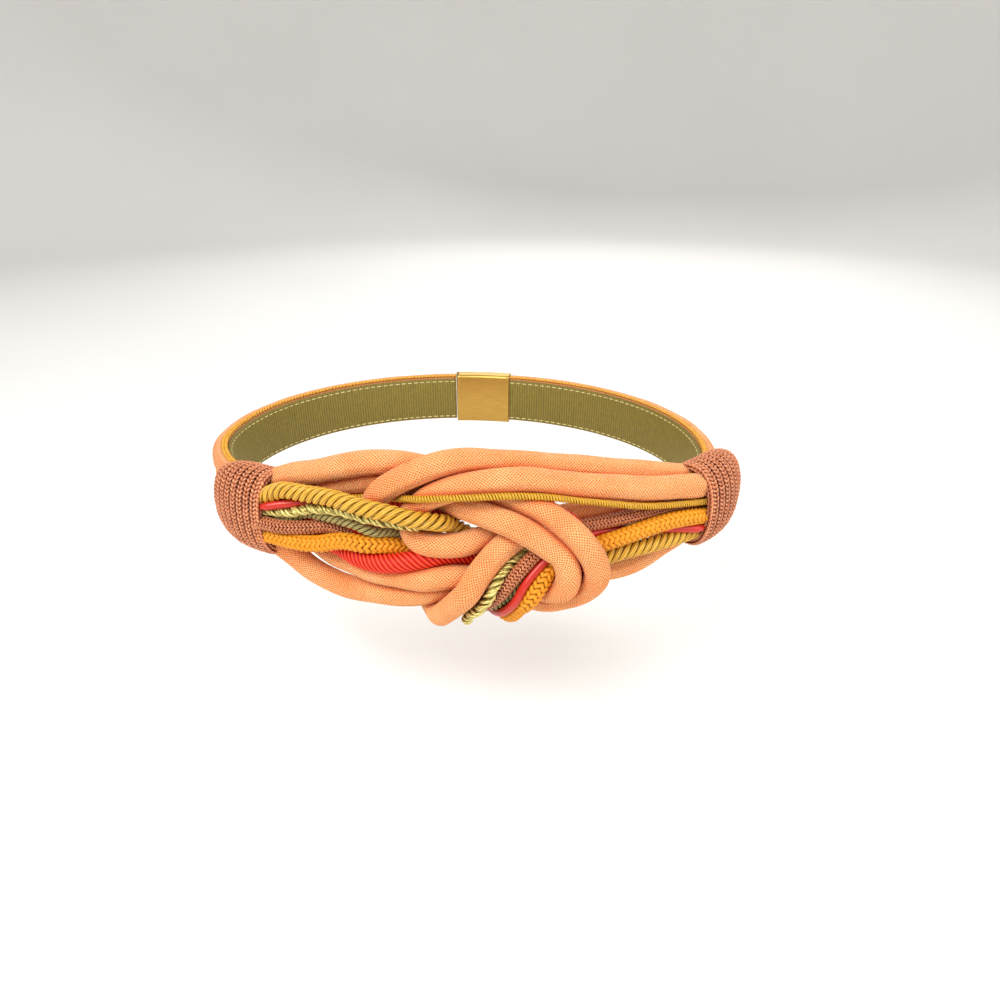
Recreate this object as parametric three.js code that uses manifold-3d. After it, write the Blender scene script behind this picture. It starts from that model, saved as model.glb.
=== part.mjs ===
// Rope belt: cords, twisted ropes and knitted cords tied into one flat knot at the front of the waist,
// gathered at each side into a knitted cuff, and closed by a padded strap round the back.
// Millimetres, +Z up, +X to the wearer's left, -Y to the front. The origin is at the middle of the
// waist hollow where it is widest, at the height of the belt.
import * as THREE from 'three';
import { mergeVertices } from 'three/addons/utils/BufferGeometryUtils.js';
import Module from 'manifold-3d';

const wasm = await Module();
wasm.setup();

// Waist line: the closed inner curve that the belt is worn on.
const waistHalfWidth = 123;
const waistFrontDepth = 75;
const waistBackDepth = 100;
const waistSteps = 2880;

// Distances between neighbours that touch.
const seatGap = 0.3;
const endGap = 0.5;

// Cords.
const linenCordDiameter = 10;
const twillCordDiameter = 8;
const goldRopeDiameter = 7.4;
const orangeKnitDiameter = 7.2;
const copperKnitDiameter = 5.8;
const metallicRopeDiameter = 4.2;
const oliveRopeDiameter = 4;
const satinCordDiameter = 2.8;
const gimpCordDiameter = 2.8;
const thickCordSides = 9;
const thinCordSides = 6;
const thickCordStep = 5.5;
const thinCordStep = 6.5;

// Cuffs: the mouth takes the cords, the back takes the strap.
const leftMouthAlong = -70;
const rightMouthAlong = 110;
const cuffLength = 33;
const cuffMouth = { height: 43.5, thickness: 28.4, up: 9, out: 14.4 };
const cuffBack = { height: 39, thickness: 22, up: 5, out: 11.4 };
const cuffSides = 24;
const cuffSquareness = 2.3;
const trimDepth = 12;

// Barrel profile of a cuff, from its mouth (place 0) to its back (place 1), as shares of the section.
const cuffProfile = [
  { place: 0, share: 0.93 },
  { place: 0.04, share: 0.985 },
  { place: 0.2, share: 1.01 },
  { place: 0.4, share: 1.04 },
  { place: 0.6, share: 1.05 },
  { place: 0.8, share: 1.02 },
  { place: 0.96, share: 0.95 },
  { place: 1, share: 0.88 },
];

// Strap: corded tubes side by side, with a lining on the inner face.
const strapHeight = 30;
const strapThickness = 8;
const strapUp = 1;
const strapTubes = 3;
const tubeGrooveShare = 0.3;
const pointsPerTube = 4;
const liningThickness = 1.4;
const liningEdge = 1.5;
const strapStep = 12;

// Closure at the middle of the back.
const claspLength = 34;
const claspHeight = 32;
const claspThickness = 9;
const claspCorner = 2;

// Waist line as a table of arc length, so that a place on the belt is [along, up, out]: along the
// waist from the front centre (positive towards +X), up, and out from the body.
function waistLine() {
  const depth = (angle) => (Math.cos(angle) >= 0 ? waistFrontDepth : waistBackDepth);
  const point = (angle) => new THREE.Vector2(
    waistHalfWidth * Math.sin(angle),
    -depth(angle) * Math.cos(angle),
  );
  const lengths = [0];
  for (let i = 1; i <= waistSteps; i += 1) {
    const a = point(((i - 1) / waistSteps) * Math.PI);
    const b = point((i / waistSteps) * Math.PI);
    lengths.push(lengths[i - 1] + a.distanceTo(b));
  }
  const half = lengths[waistSteps];
  const angleAt = (along) => {
    const wrapped = along - 2 * half * Math.round(along / (2 * half));
    const target = Math.min(Math.abs(wrapped), half);
    let low = 0;
    let high = waistSteps;
    while (high - low > 1) {
      const middle = (low + high) >> 1;
      if (lengths[middle] <= target) low = middle;
      else high = middle;
    }
    const share = (target - lengths[low]) / (lengths[high] - lengths[low]);
    return Math.sign(wrapped || 1) * ((low + share) / waistSteps) * Math.PI;
  };
  const place = (along, up, out) => {
    const angle = angleAt(along);
    const foot = point(angle);
    const normal = new THREE.Vector2(
      Math.sin(angle) / waistHalfWidth,
      -Math.cos(angle) / depth(angle),
    ).normalize();
    return new THREE.Vector3(foot.x + normal.x * out, foot.y + normal.y * out, up);
  };
  return { half, place };
}

const waist = waistLine();

// A closed body through rings of points that all have the same count, with a flat cap on each end.
function loft(rings) {
  const count = rings[0].length;
  const points = rings.flat();
  const middle = (ring) => ring
    .reduce((sum, p) => sum.add(p), new THREE.Vector3())
    .divideScalar(count);
  const first = points.push(middle(rings[0])) - 1;
  const last = points.push(middle(rings[rings.length - 1])) - 1;
  const faces = [];
  for (let r = 0; r + 1 < rings.length; r += 1) {
    for (let i = 0; i < count; i += 1) {
      const a = r * count + i;
      const b = r * count + ((i + 1) % count);
      faces.push(a, b, b + count, a, b + count, a + count);
    }
  }
  const lastRing = (rings.length - 1) * count;
  for (let i = 0; i < count; i += 1) {
    const next = (i + 1) % count;
    faces.push(first, next, i);
    faces.push(last, lastRing + i, lastRing + next);
  }
  const geometry = new THREE.BufferGeometry();
  geometry.setAttribute('position', new THREE.Float32BufferAttribute(points.flatMap((p) => p.toArray()), 3));
  geometry.setIndex(faces);
  return geometry;
}

function toManifold(geometry) {
  const bare = geometry.clone();
  bare.deleteAttribute('normal');
  bare.deleteAttribute('uv');
  const merged = mergeVertices(bare, 1e-4);
  return new wasm.Manifold(new wasm.Mesh({
    numProp: 3,
    vertProperties: Float32Array.from(merged.attributes.position.array),
    triVerts: Uint32Array.from(merged.index.array),
  }));
}

function fromManifold(solid) {
  const mesh = solid.getMesh();
  const geometry = new THREE.BufferGeometry();
  geometry.setAttribute('position', new THREE.BufferAttribute(mesh.vertProperties, 3));
  geometry.setIndex(new THREE.BufferAttribute(mesh.triVerts, 1));
  geometry.computeVertexNormals();
  return geometry;
}

// A straight block behind a cuff's mouth, which trims the cords flush with it.
function mouthTrim(mouthAlong, inward) {
  const face = mouthAlong - inward * endGap;
  const reach = cuffMouth.height;
  const near = (up, out) => waist.place(face, cuffMouth.up + up, cuffMouth.out + out);
  const heading = new THREE.Vector3().crossVectors(
    near(1, 0).sub(near(0, 0)),
    near(0, 1).sub(near(0, 0)),
  ).normalize();
  const behind = waist.place(mouthAlong + inward * trimDepth, cuffMouth.up, cuffMouth.out);
  heading.multiplyScalar(Math.sign(heading.dot(behind.sub(near(0, 0)))) * trimDepth);
  const square = [near(-reach, -reach), near(reach, -reach), near(reach, reach), near(-reach, reach)];
  if (inward < 0) square.reverse();
  return toManifold(loft([square, square.map((p) => p.clone().add(heading))]));
}

const leftTrim = mouthTrim(leftMouthAlong, -1);
const rightTrim = mouthTrim(rightMouthAlong, 1);

// Routes of the cords, each point [along, up, out] to the cord's middle.
const routes = {
  ringCordOuter: [
    [-74, 23, 11], [-69, 25, 11], [-60, 29, 11], [-50, 32, 10.5], [-38, 36, 10], [-27, 38.5, 9],
    [-15, 38.5, 7], [-3, 36, 5.5], [8, 33.5, 6.5], [18, 30, 9.5], [27, 28, 13], [34, 26.5, 17],
    [41, 24.5, 21.5], [47.5, 20.5, 26.5], [52, 16.5, 30.5], [56, 10.5, 33], [58.5, 5, 33.5],
    [60, -2, 33], [59.5, -8.5, 30], [57, -15, 25.5], [52.5, -20.5, 20.5], [45, -24, 16.5],
    [36, -22.5, 14], [26, -20, 13.5], [16, -17.5, 14.8], [6, -17, 15.8], [-6, -20.5, 16],
    [-17, -22.5, 15.5], [-29, -24, 13.5], [-39.5, -24, 13], [-49, -21.5, 13], [-57.5, -17.5, 13.5],
    [-65, -12, 14], [-69, -8.5, 15], [-74, -5, 16],
  ],
  ringCordInner: [
    [-74, 15, 6], [-69, 15.7, 5.8], [-60, 19, 5.4], [-48, 23, 5.4], [-36, 27, 5.4], [-25, 29, 5.4],
    [-13, 27, 5.4], [-3, 25, 5.5], [5.5, 23.5, 9.5], [14, 22.5, 15], [22, 21.5, 20], [30, 19.5, 24],
    [36.5, 16, 26.5], [43, 11, 28.5], [47.5, 6.5, 30], [49.5, 1, 31], [50, -4, 31], [49, -10, 29],
    [44.5, -14.5, 23], [37, -13, 18.5], [28, -10.5, 18.3], [18, -8.5, 20.5], [7, -7.5, 21.5],
    [-4, -10, 20.5], [-15, -11.5, 17], [-26, -12, 14.9], [-37, -11, 11.5], [-47.5, -9.5, 9.5],
    [-56, -6, 7.5], [-62, -2.5, 6], [-69, 4.5, 5.4], [-74, 9, 5.4],
  ],
  twillCord: [
    [-74, 14, 16], [-69, 13, 15], [-62, 10.3, 12], [-53, 12, 9], [-44, 14, 6.5], [-33, 18, 4.5],
    [-21, 18.5, 4.5], [-9, 16, 4.5], [4, 15, 4.5], [15, 17.5, 5], [25, 19.5, 6.5], [34, 21, 8.5],
    [41.5, 21.5, 11.5], [47.5, 19, 16], [53, 15.5, 20.5], [56, 8, 23.5], [56, 0.5, 24.5],
    [55, -4, 23], [52.5, -7, 20.5], [48.5, -7.5, 17.5], [43, -6, 15], [32, -3, 13.5],
    [18, -1.5, 13.5], [5, 0, 15.5], [-7, -1, 19.5], [-18, -3, 21], [-30.5, -3.5, 18.5],
    [-42, -1, 14.5], [-52.5, 0, 14], [-61.5, 1.5, 15], [-69, 2.5, 15], [-74, 4, 16],
  ],
  bandCordBack: [
    [114, 21, 8.5], [109, 22, 8], [99, 25, 6.5], [88, 28, 5.5], [76, 31, 5.5], [64, 34, 5.5],
    [51, 36.5, 5.5], [38, 39, 6.5], [25, 41, 8.5], [13, 42.5, 10.5], [3, 42, 13.5], [-6, 39, 16],
    [-13.5, 35, 17], [-20.5, 29, 17], [-24.5, 21.5, 16.5], [-26.5, 14, 12.5], [-27.5, 6, 6],
    [-27, -1.5, 5.2], [-22, -8.5, 5.4], [-16, -16, 5.4], [-10, -22.5, 5.5], [-5, -28, 8],
    [-1.5, -30, 13], [1.5, -28.5, 19.5], [5, -23, 24.5], [9.5, -15.5, 28.8], [13.5, -8.5, 31.5],
    [17.5, -1.5, 29], [22.5, 4.5, 25], [28.5, 9, 21], [35, 11, 16.5], [43, 11.5, 10.5],
    [52, 12, 6.5], [63, 12, 5.4], [76, 11.5, 5.4], [89, 10.5, 5.4], [101, 10.5, 5.4], [109, 10, 6],
    [114, 10, 6],
  ],
  bandCordFront: [
    [114, 20, 18], [109, 20.8, 18.3], [99, 23, 17], [87, 25, 16], [74, 28, 15.5], [61, 31, 16],
    [48, 34, 16.5], [36, 37, 17.5], [24, 37, 18.5], [14, 35, 18], [5.5, 32, 17.5], [-1, 28.5, 17],
    [-5.5, 24, 16], [-8.5, 20, 14.5], [-9.5, 15, 14], [-8, 10, 16.5], [-3.5, 8.5, 20], [3, 8, 21],
    [10, 8, 20], [19, 8, 15], [27.5, 6.5, 10], [35.5, 4, 7.2], [44, -1, 6], [55, -7.5, 5.5],
    [62, -14, 5.8], [70.5, -18, 6.5], [79.5, -18.5, 7], [90.5, -16, 8], [101, -11, 9],
    [109, -7, 11], [114, -5, 12],
  ],
  gimpCord: [
    [-74, 19, 17], [-69, 19, 16], [-56, 19, 13], [-42, 20.5, 11], [-31, 22, 9.5], [-25, 23, 9],
    [-20.5, 23.5, 10.5], [-13.5, 26.5, 16], [-5.5, 30, 22], [4, 32, 24.5], [16, 33, 25],
    [28, 33, 24], [41, 31.5, 23], [54, 28, 22], [67, 24, 20.5], [80, 20, 20], [93, 17, 20],
    [104, 15, 21], [109, 14, 22], [114, 13.5, 23],
  ],
  goldRope: [
    [-74, 18, 21], [-69, 21, 21], [-61, 25.5, 21], [-50, 26.5, 21.5], [-37, 27.5, 23.5],
    [-25, 26.5, 26], [-16, 25, 26], [-6.5, 22.5, 25.5], [2, 19, 21], [6, 14, 13.5], [11, 8, 9],
    [19.5, 1.5, 6], [28, -4, 5], [37.5, -8.5, 6.5], [45.5, -12, 9.5], [54, -12.5, 13.5],
    [61.5, -9, 15], [71.5, -5.5, 15.5], [79.5, -4, 16.5], [89.5, -3, 17.5], [99.5, -2.5, 18.5],
    [109, -2.5, 19], [114, -3, 20],
  ],
  satinCord: [
    [-74, 15, 25], [-69, 17, 25], [-61, 19, 21.7], [-52.5, 19, 16.7], [-43.5, 15.5, 14.5],
    [-34, 10.5, 16], [-27, 6.5, 15.5], [-18, 2, 9.5], [-10, -5, 5], [-2.5, -11.5, 2.5],
    [6, -16.6, 2], [14, -22.5, 3], [18, -26, 5.5], [21, -28.5, 12], [24, -28, 18],
    [27, -23.5, 24.5], [31, -15.5, 29], [34.5, -7.5, 28.5], [39, -1.5, 26.5], [46, 4.5, 23.5],
    [55, 6.5, 17.5], [66, 6, 13], [79, 4.5, 12.5], [91, 3.5, 15.5], [102.5, 2.5, 21],
    [109, 1.8, 24.8], [114, 2, 25],
  ],
  metallicRope: [
    [-74, 13, 22], [-69, 14, 22], [-59.5, 15, 21], [-48.5, 19, 20.5], [-35.5, 21, 22],
    [-23, 20, 24], [-11.5, 18, 22.5], [-6.5, 17, 21.5], [-2.5, 15.5, 17], [0, 8, 11.5],
    [3, -1.5, 6], [6.6, -10, 4.5], [9.8, -17, 7.2], [11.5, -22.5, 10.3], [12.3, -25.6, 12],
    [13, -28.5, 14.5], [13, -30.5, 18], [12.5, -29, 23], [14.5, -23, 27], [18, -17.5, 30.5],
    [21.5, -10.5, 31.5], [24.5, -4, 29], [29, 0.5, 24], [36, 3.5, 18.5], [46, 5.5, 14],
    [57.5, 5.5, 9.5], [69.5, 3.5, 7], [83.5, 2, 8], [95.5, 1, 11], [105, 0.5, 13], [109, 1, 14],
    [114, 1, 15],
  ],
  oliveRope: [
    [-74, 6, 19], [-69, 7, 19.5], [-61.5, 10.3, 19.2], [-52.5, 14, 17.5], [-42.5, 15, 19],
    [-31.5, 14, 20], [-24, 11.5, 20], [-17.5, 8.8, 14], [-11.5, 4.5, 7.5], [-6, -0.5, 5],
    [-1.5, -7, 4.5], [3.3, -15.5, 6], [8, -21.7, 5], [14, -25, 7.5], [18, -26, 12],
    [20.5, -25.5, 17], [24, -22.5, 21], [27.5, -18, 23], [31.5, -12, 25.4], [35, -5.5, 23],
    [39.5, -1, 20], [46.5, 0.5, 14], [55.5, 1, 8], [67, -0.5, 5.5], [81, -1, 4.5], [93, 0.5, 5],
    [103, 3.5, 9], [109, 5.5, 14], [114, 7, 17],
  ],
  copperKnitCord: [
    [-74, 8, 25], [-69, 9, 25], [-62, 9, 24.5], [-53, 9, 21], [-43.5, 8.5, 16], [-32, 4, 14.3],
    [-23, -0.5, 13], [-13, -8, 9.5], [-6, -14.5, 7.5], [0.5, -21, 7], [4.3, -24.5, 10],
    [8.5, -25.5, 15.5], [12.5, -24.5, 19.5], [16, -23, 21.5], [20.5, -19, 24.5], [25, -13, 27],
    [29, -6.5, 27.5], [34, 0, 26], [40, 5.5, 23], [47, 8.5, 18], [57, 10.5, 14], [69, 11.5, 14],
    [83, 12, 14], [96, 12, 14], [105, 12, 15.5], [109, 12, 17], [114, 12, 19],
  ],
  orangeKnitCord: [
    [-74, 1, 23], [-69, 2, 23], [-58, 2, 23], [-47, 3, 22.5], [-36, 6, 21.5], [-26.5, 5.5, 21],
    [-19, 4, 17], [-10.5, -0.5, 12], [0, -6, 10.5], [9.5, -8.5, 10.5], [16.5, -13.5, 6.5],
    [22, -20.5, 4.5], [25.5, -27.5, 7.5], [28, -30.5, 14.5], [30.5, -28, 20], [33, -21.5, 24.5],
    [36.5, -15, 28.5], [40, -8.5, 28], [45, -2.5, 23.5], [51, 1, 18], [60, 0.5, 16],
    [71, 3.5, 17.5], [83, 6.5, 18.5], [95, 8.5, 20], [104, 8, 21.5], [109, 7, 22], [114, 6, 23],
  ],
};

function cord(name, diameter, route, material, ends) {
  const curve = new THREE.CatmullRomCurve3(route.map((p) => waist.place(...p)), false, 'centripetal');
  const thick = diameter > (metallicRopeDiameter + goldRopeDiameter) / 2;
  const sides = thick ? thickCordSides : thinCordSides;
  const step = thick ? thickCordStep : thinCordStep;
  const circle = new THREE.Shape(Array.from({ length: sides }, (_, i) => {
    const angle = (i / sides) * 2 * Math.PI;
    return new THREE.Vector2(Math.cos(angle), Math.sin(angle)).multiplyScalar(diameter / 2);
  }));
  const tube = new THREE.ExtrudeGeometry(circle, {
    steps: Math.round(curve.getLength() / step),
    extrudePath: curve,
    bevelEnabled: false,
  });
  let solid = toManifold(tube);
  if (ends !== 'right') solid = solid.subtract(leftTrim);
  if (ends !== 'left') solid = solid.subtract(rightTrim);
  const mesh = new THREE.Mesh(fromManifold(solid), material);
  mesh.name = name;
  return mesh;
}

// Points round a rounded oval section.
function ovalRing(along, section, share) {
  return Array.from({ length: cuffSides }, (_, i) => {
    const angle = (i / cuffSides) * 2 * Math.PI;
    const bend = (value) => Math.sign(value) * Math.abs(value) ** (2 / cuffSquareness);
    return waist.place(
      along,
      section.up + (section.height / 2) * share * bend(Math.sin(angle)),
      section.out + (section.thickness / 2) * share * bend(Math.cos(angle)),
    );
  });
}

// A cuff from its mouth, away from the front centre (inward is -1 for the left, 1 for the right).
function cuff(name, mouthAlong, inward, material) {
  const mix = (key, place) => THREE.MathUtils.lerp(cuffMouth[key], cuffBack[key], place);
  const rings = cuffProfile.map(({ place, share }) => {
    const section = {
      height: mix('height', place),
      thickness: mix('thickness', place),
      up: mix('up', place),
      out: mix('out', place),
    };
    return ovalRing(mouthAlong + inward * cuffLength * place, section, share);
  });
  if (inward > 0) rings.reverse();
  const mesh = new THREE.Mesh(loft(rings), material);
  mesh.name = name;
  return mesh;
}

// Outline of the strap as [up, out]: a flat inner face and one bulge for each tube on the outer face.
function strapOutline() {
  const inner = liningThickness + seatGap;
  const tube = strapHeight / strapTubes;
  const valley = inner + strapThickness * (1 - tubeGrooveShare);
  const outline = [[-strapHeight / 2, inner], [strapHeight / 2, inner]];
  for (let t = strapTubes - 1; t >= 0; t -= 1) {
    for (let i = 0; i < pointsPerTube; i += 1) {
      const share = (i + 0.5) / pointsPerTube;
      const up = -strapHeight / 2 + (t + 1 - share) * tube;
      outline.push([up, valley + strapThickness * tubeGrooveShare * Math.sin(Math.PI * share)]);
    }
  }
  return outline;
}

// Outline of the lining, which stops short of the strap's edges.
function liningOutline() {
  const half = strapHeight / 2 - liningEdge;
  return [[-half, 0], [half, 0], [half, liningThickness], [-half, liningThickness]];
}

// A band of one outline along the waist, from one place to a place further towards +X or round the back.
function band(name, from, to, outline, material) {
  const steps = Math.round((to - from) / strapStep);
  const rings = Array.from({ length: steps + 1 }, (_, i) => {
    const along = THREE.MathUtils.lerp(from, to, i / steps);
    return outline.map(([up, out]) => waist.place(along, strapUp + up, out));
  });
  const mesh = new THREE.Mesh(loft(rings), material);
  mesh.name = name;
  return mesh;
}

// The closure is one plain block across the back centre, with eased corners.
function clasp(material) {
  const eased = (half) => half - claspCorner;
  const halfHeight = claspHeight / 2;
  const outline = [
    [-halfHeight, claspCorner], [-eased(halfHeight), 0], [eased(halfHeight), 0], [halfHeight, claspCorner],
    [halfHeight, claspThickness - claspCorner], [eased(halfHeight), claspThickness],
    [-eased(halfHeight), claspThickness], [-halfHeight, claspThickness - claspCorner],
  ];
  return band('back_clasp', waist.half - claspLength / 2, waist.half + claspLength / 2, outline, material);
}

function finish(color, roughness, metalness = 0) {
  return new THREE.MeshStandardMaterial({ color, roughness, metalness });
}

const belt = new THREE.Group();
belt.add(
  cord('ring_cord_outer', linenCordDiameter, routes.ringCordOuter, finish('#f0a573', 0.95), 'left'),
  cord('ring_cord_inner', linenCordDiameter, routes.ringCordInner, finish('#f0a573', 0.95), 'left'),
  cord('twill_cord', twillCordDiameter, routes.twillCord, finish('#e8321c', 0.6), 'left'),
  cord('band_cord_back', linenCordDiameter, routes.bandCordBack, finish('#f0a573', 0.95), 'right'),
  cord('band_cord_front', linenCordDiameter, routes.bandCordFront, finish('#f0a573', 0.95), 'right'),
  cord('gimp_cord', gimpCordDiameter, routes.gimpCord, finish('#b8922f', 0.5), 'both'),
  cord('gold_rope', goldRopeDiameter, routes.goldRope, finish('#d9a93a', 0.45), 'both'),
  cord('satin_cord', satinCordDiameter, routes.satinCord, finish('#b32a14', 0.3), 'both'),
  cord('metallic_rope', metallicRopeDiameter, routes.metallicRope, finish('#a9a04e', 0.35, 0.4), 'both'),
  cord('olive_rope', oliveRopeDiameter, routes.oliveRope, finish('#8c8450', 0.5), 'both'),
  cord('copper_knit_cord', copperKnitDiameter, routes.copperKnitCord, finish('#c0704f', 0.6), 'both'),
  cord('orange_knit_cord', orangeKnitDiameter, routes.orangeKnitCord, finish('#d8901e', 0.6), 'both'),
  cuff('cuff_left', leftMouthAlong, -1, finish('#c97f62', 0.6)),
  cuff('cuff_right', rightMouthAlong, 1, finish('#c97f62', 0.6)),
);

// Each half of the strap and its lining runs from the back of a cuff to the clasp.
const halves = [
  { side: 'left', from: -waist.half + claspLength / 2 + endGap, to: leftMouthAlong - cuffLength - endGap },
  { side: 'right', from: rightMouthAlong + cuffLength + endGap, to: waist.half - claspLength / 2 - endGap },
];
for (const { side, from, to } of halves) {
  belt.add(
    band(`strap_${side}`, from, to, strapOutline(), finish('#eda374', 0.95)),
    band(`strap_lining_${side}`, from, to, liningOutline(), finish('#8a7a1e', 0.8)),
  );
}
belt.add(clasp(finish('#c9a24a', 0.4, 0.8)));

export default belt;
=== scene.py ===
# Rope belt, worn: linen cords, laid ropes and knitted cords tied in a flat knot at the front of the waist,
# gathered at each side into a knitted cuff, with a padded strap round the back. Metres throughout.
import math
import random

import bpy
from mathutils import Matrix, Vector, kdtree, noise


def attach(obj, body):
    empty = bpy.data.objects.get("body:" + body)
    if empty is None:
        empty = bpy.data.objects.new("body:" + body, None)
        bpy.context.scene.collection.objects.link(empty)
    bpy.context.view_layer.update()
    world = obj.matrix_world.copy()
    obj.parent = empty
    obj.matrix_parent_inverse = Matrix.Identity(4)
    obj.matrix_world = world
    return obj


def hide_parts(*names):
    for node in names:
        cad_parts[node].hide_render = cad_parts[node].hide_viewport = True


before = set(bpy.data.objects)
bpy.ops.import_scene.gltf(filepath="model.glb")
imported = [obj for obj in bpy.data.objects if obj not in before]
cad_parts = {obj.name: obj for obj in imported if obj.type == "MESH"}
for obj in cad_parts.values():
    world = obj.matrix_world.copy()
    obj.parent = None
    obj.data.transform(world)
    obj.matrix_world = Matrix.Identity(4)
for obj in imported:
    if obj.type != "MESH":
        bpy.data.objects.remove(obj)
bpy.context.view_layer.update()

# the view: the belt's origin stands a little left of and above the line of sight
cameraSetup = {
    "lens mm": 26.64,
    "distance": 0.4,
    "azimuth": 5,
    "elevation": 28,
    "origin left of sight": 0.02,
    "origin above sight": 0.0189,
}


def placeCamera(setup):
    azimuth = math.radians(setup["azimuth"])
    elevation = math.radians(setup["elevation"])
    back = Vector((
        math.sin(azimuth) * math.cos(elevation),
        -math.cos(azimuth) * math.cos(elevation),
        math.sin(elevation),
    ))
    right = Vector((math.cos(azimuth), math.sin(azimuth), 0))
    up = back.cross(right)
    data = bpy.data.cameras.new("camera")
    data.lens = setup["lens mm"]
    data.sensor_width = 36
    camera = bpy.data.objects.new("camera", data)
    bpy.context.scene.collection.objects.link(camera)
    camera.location = (
        back * setup["distance"] + right * setup["origin left of sight"] - up * setup["origin above sight"]
    )
    camera.rotation_euler = back.to_track_quat("Z", "Y").to_euler()
    bpy.context.scene.camera = camera


placeCamera(cameraSetup)
print("camera placed")

# the waist line: the closed inner curve that the belt is worn on
waist = {
    "half width": 0.123,
    "front depth": 0.075,
    "back depth": 0.1,
    "steps": 1440,
}


def waistPoint(angle):
    depth = waist["front depth"] if math.cos(angle) >= 0 else waist["back depth"]
    foot = Vector((waist["half width"] * math.sin(angle), -depth * math.cos(angle), 0))
    normal = Vector((math.sin(angle) / waist["half width"], -math.cos(angle) / depth, 0)).normalized()
    return foot, normal


# how far along a chain of points each of them lies
def lengthsAlong(points):
    lengths = [0.0]
    for a, b in zip(points, points[1:]):
        lengths.append(lengths[-1] + (b - a).length)
    return lengths


lengthsRound = lengthsAlong([
    waistPoint(math.pi * step / waist["steps"])[0] for step in range(waist["steps"] + 1)
])
halfWaist = lengthsRound[-1]


# a place on the belt: along the waist from the front centre, up, and out from the body
def onBelt(along, up, out):
    wrapped = along - 2 * halfWaist * round(along / (2 * halfWaist))
    target = min(abs(wrapped), halfWaist)
    low, high = 0, waist["steps"]
    while high - low > 1:
        middle = (low + high) // 2
        if lengthsRound[middle] <= target:
            low = middle
        else:
            high = middle
    share = (target - lengthsRound[low]) / (lengthsRound[high] - lengthsRound[low])
    angle = math.copysign((low + share) / waist["steps"] * math.pi, wrapped)
    foot, normal = waistPoint(angle)
    return foot + normal * out + Vector((0, 0, up))


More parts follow.
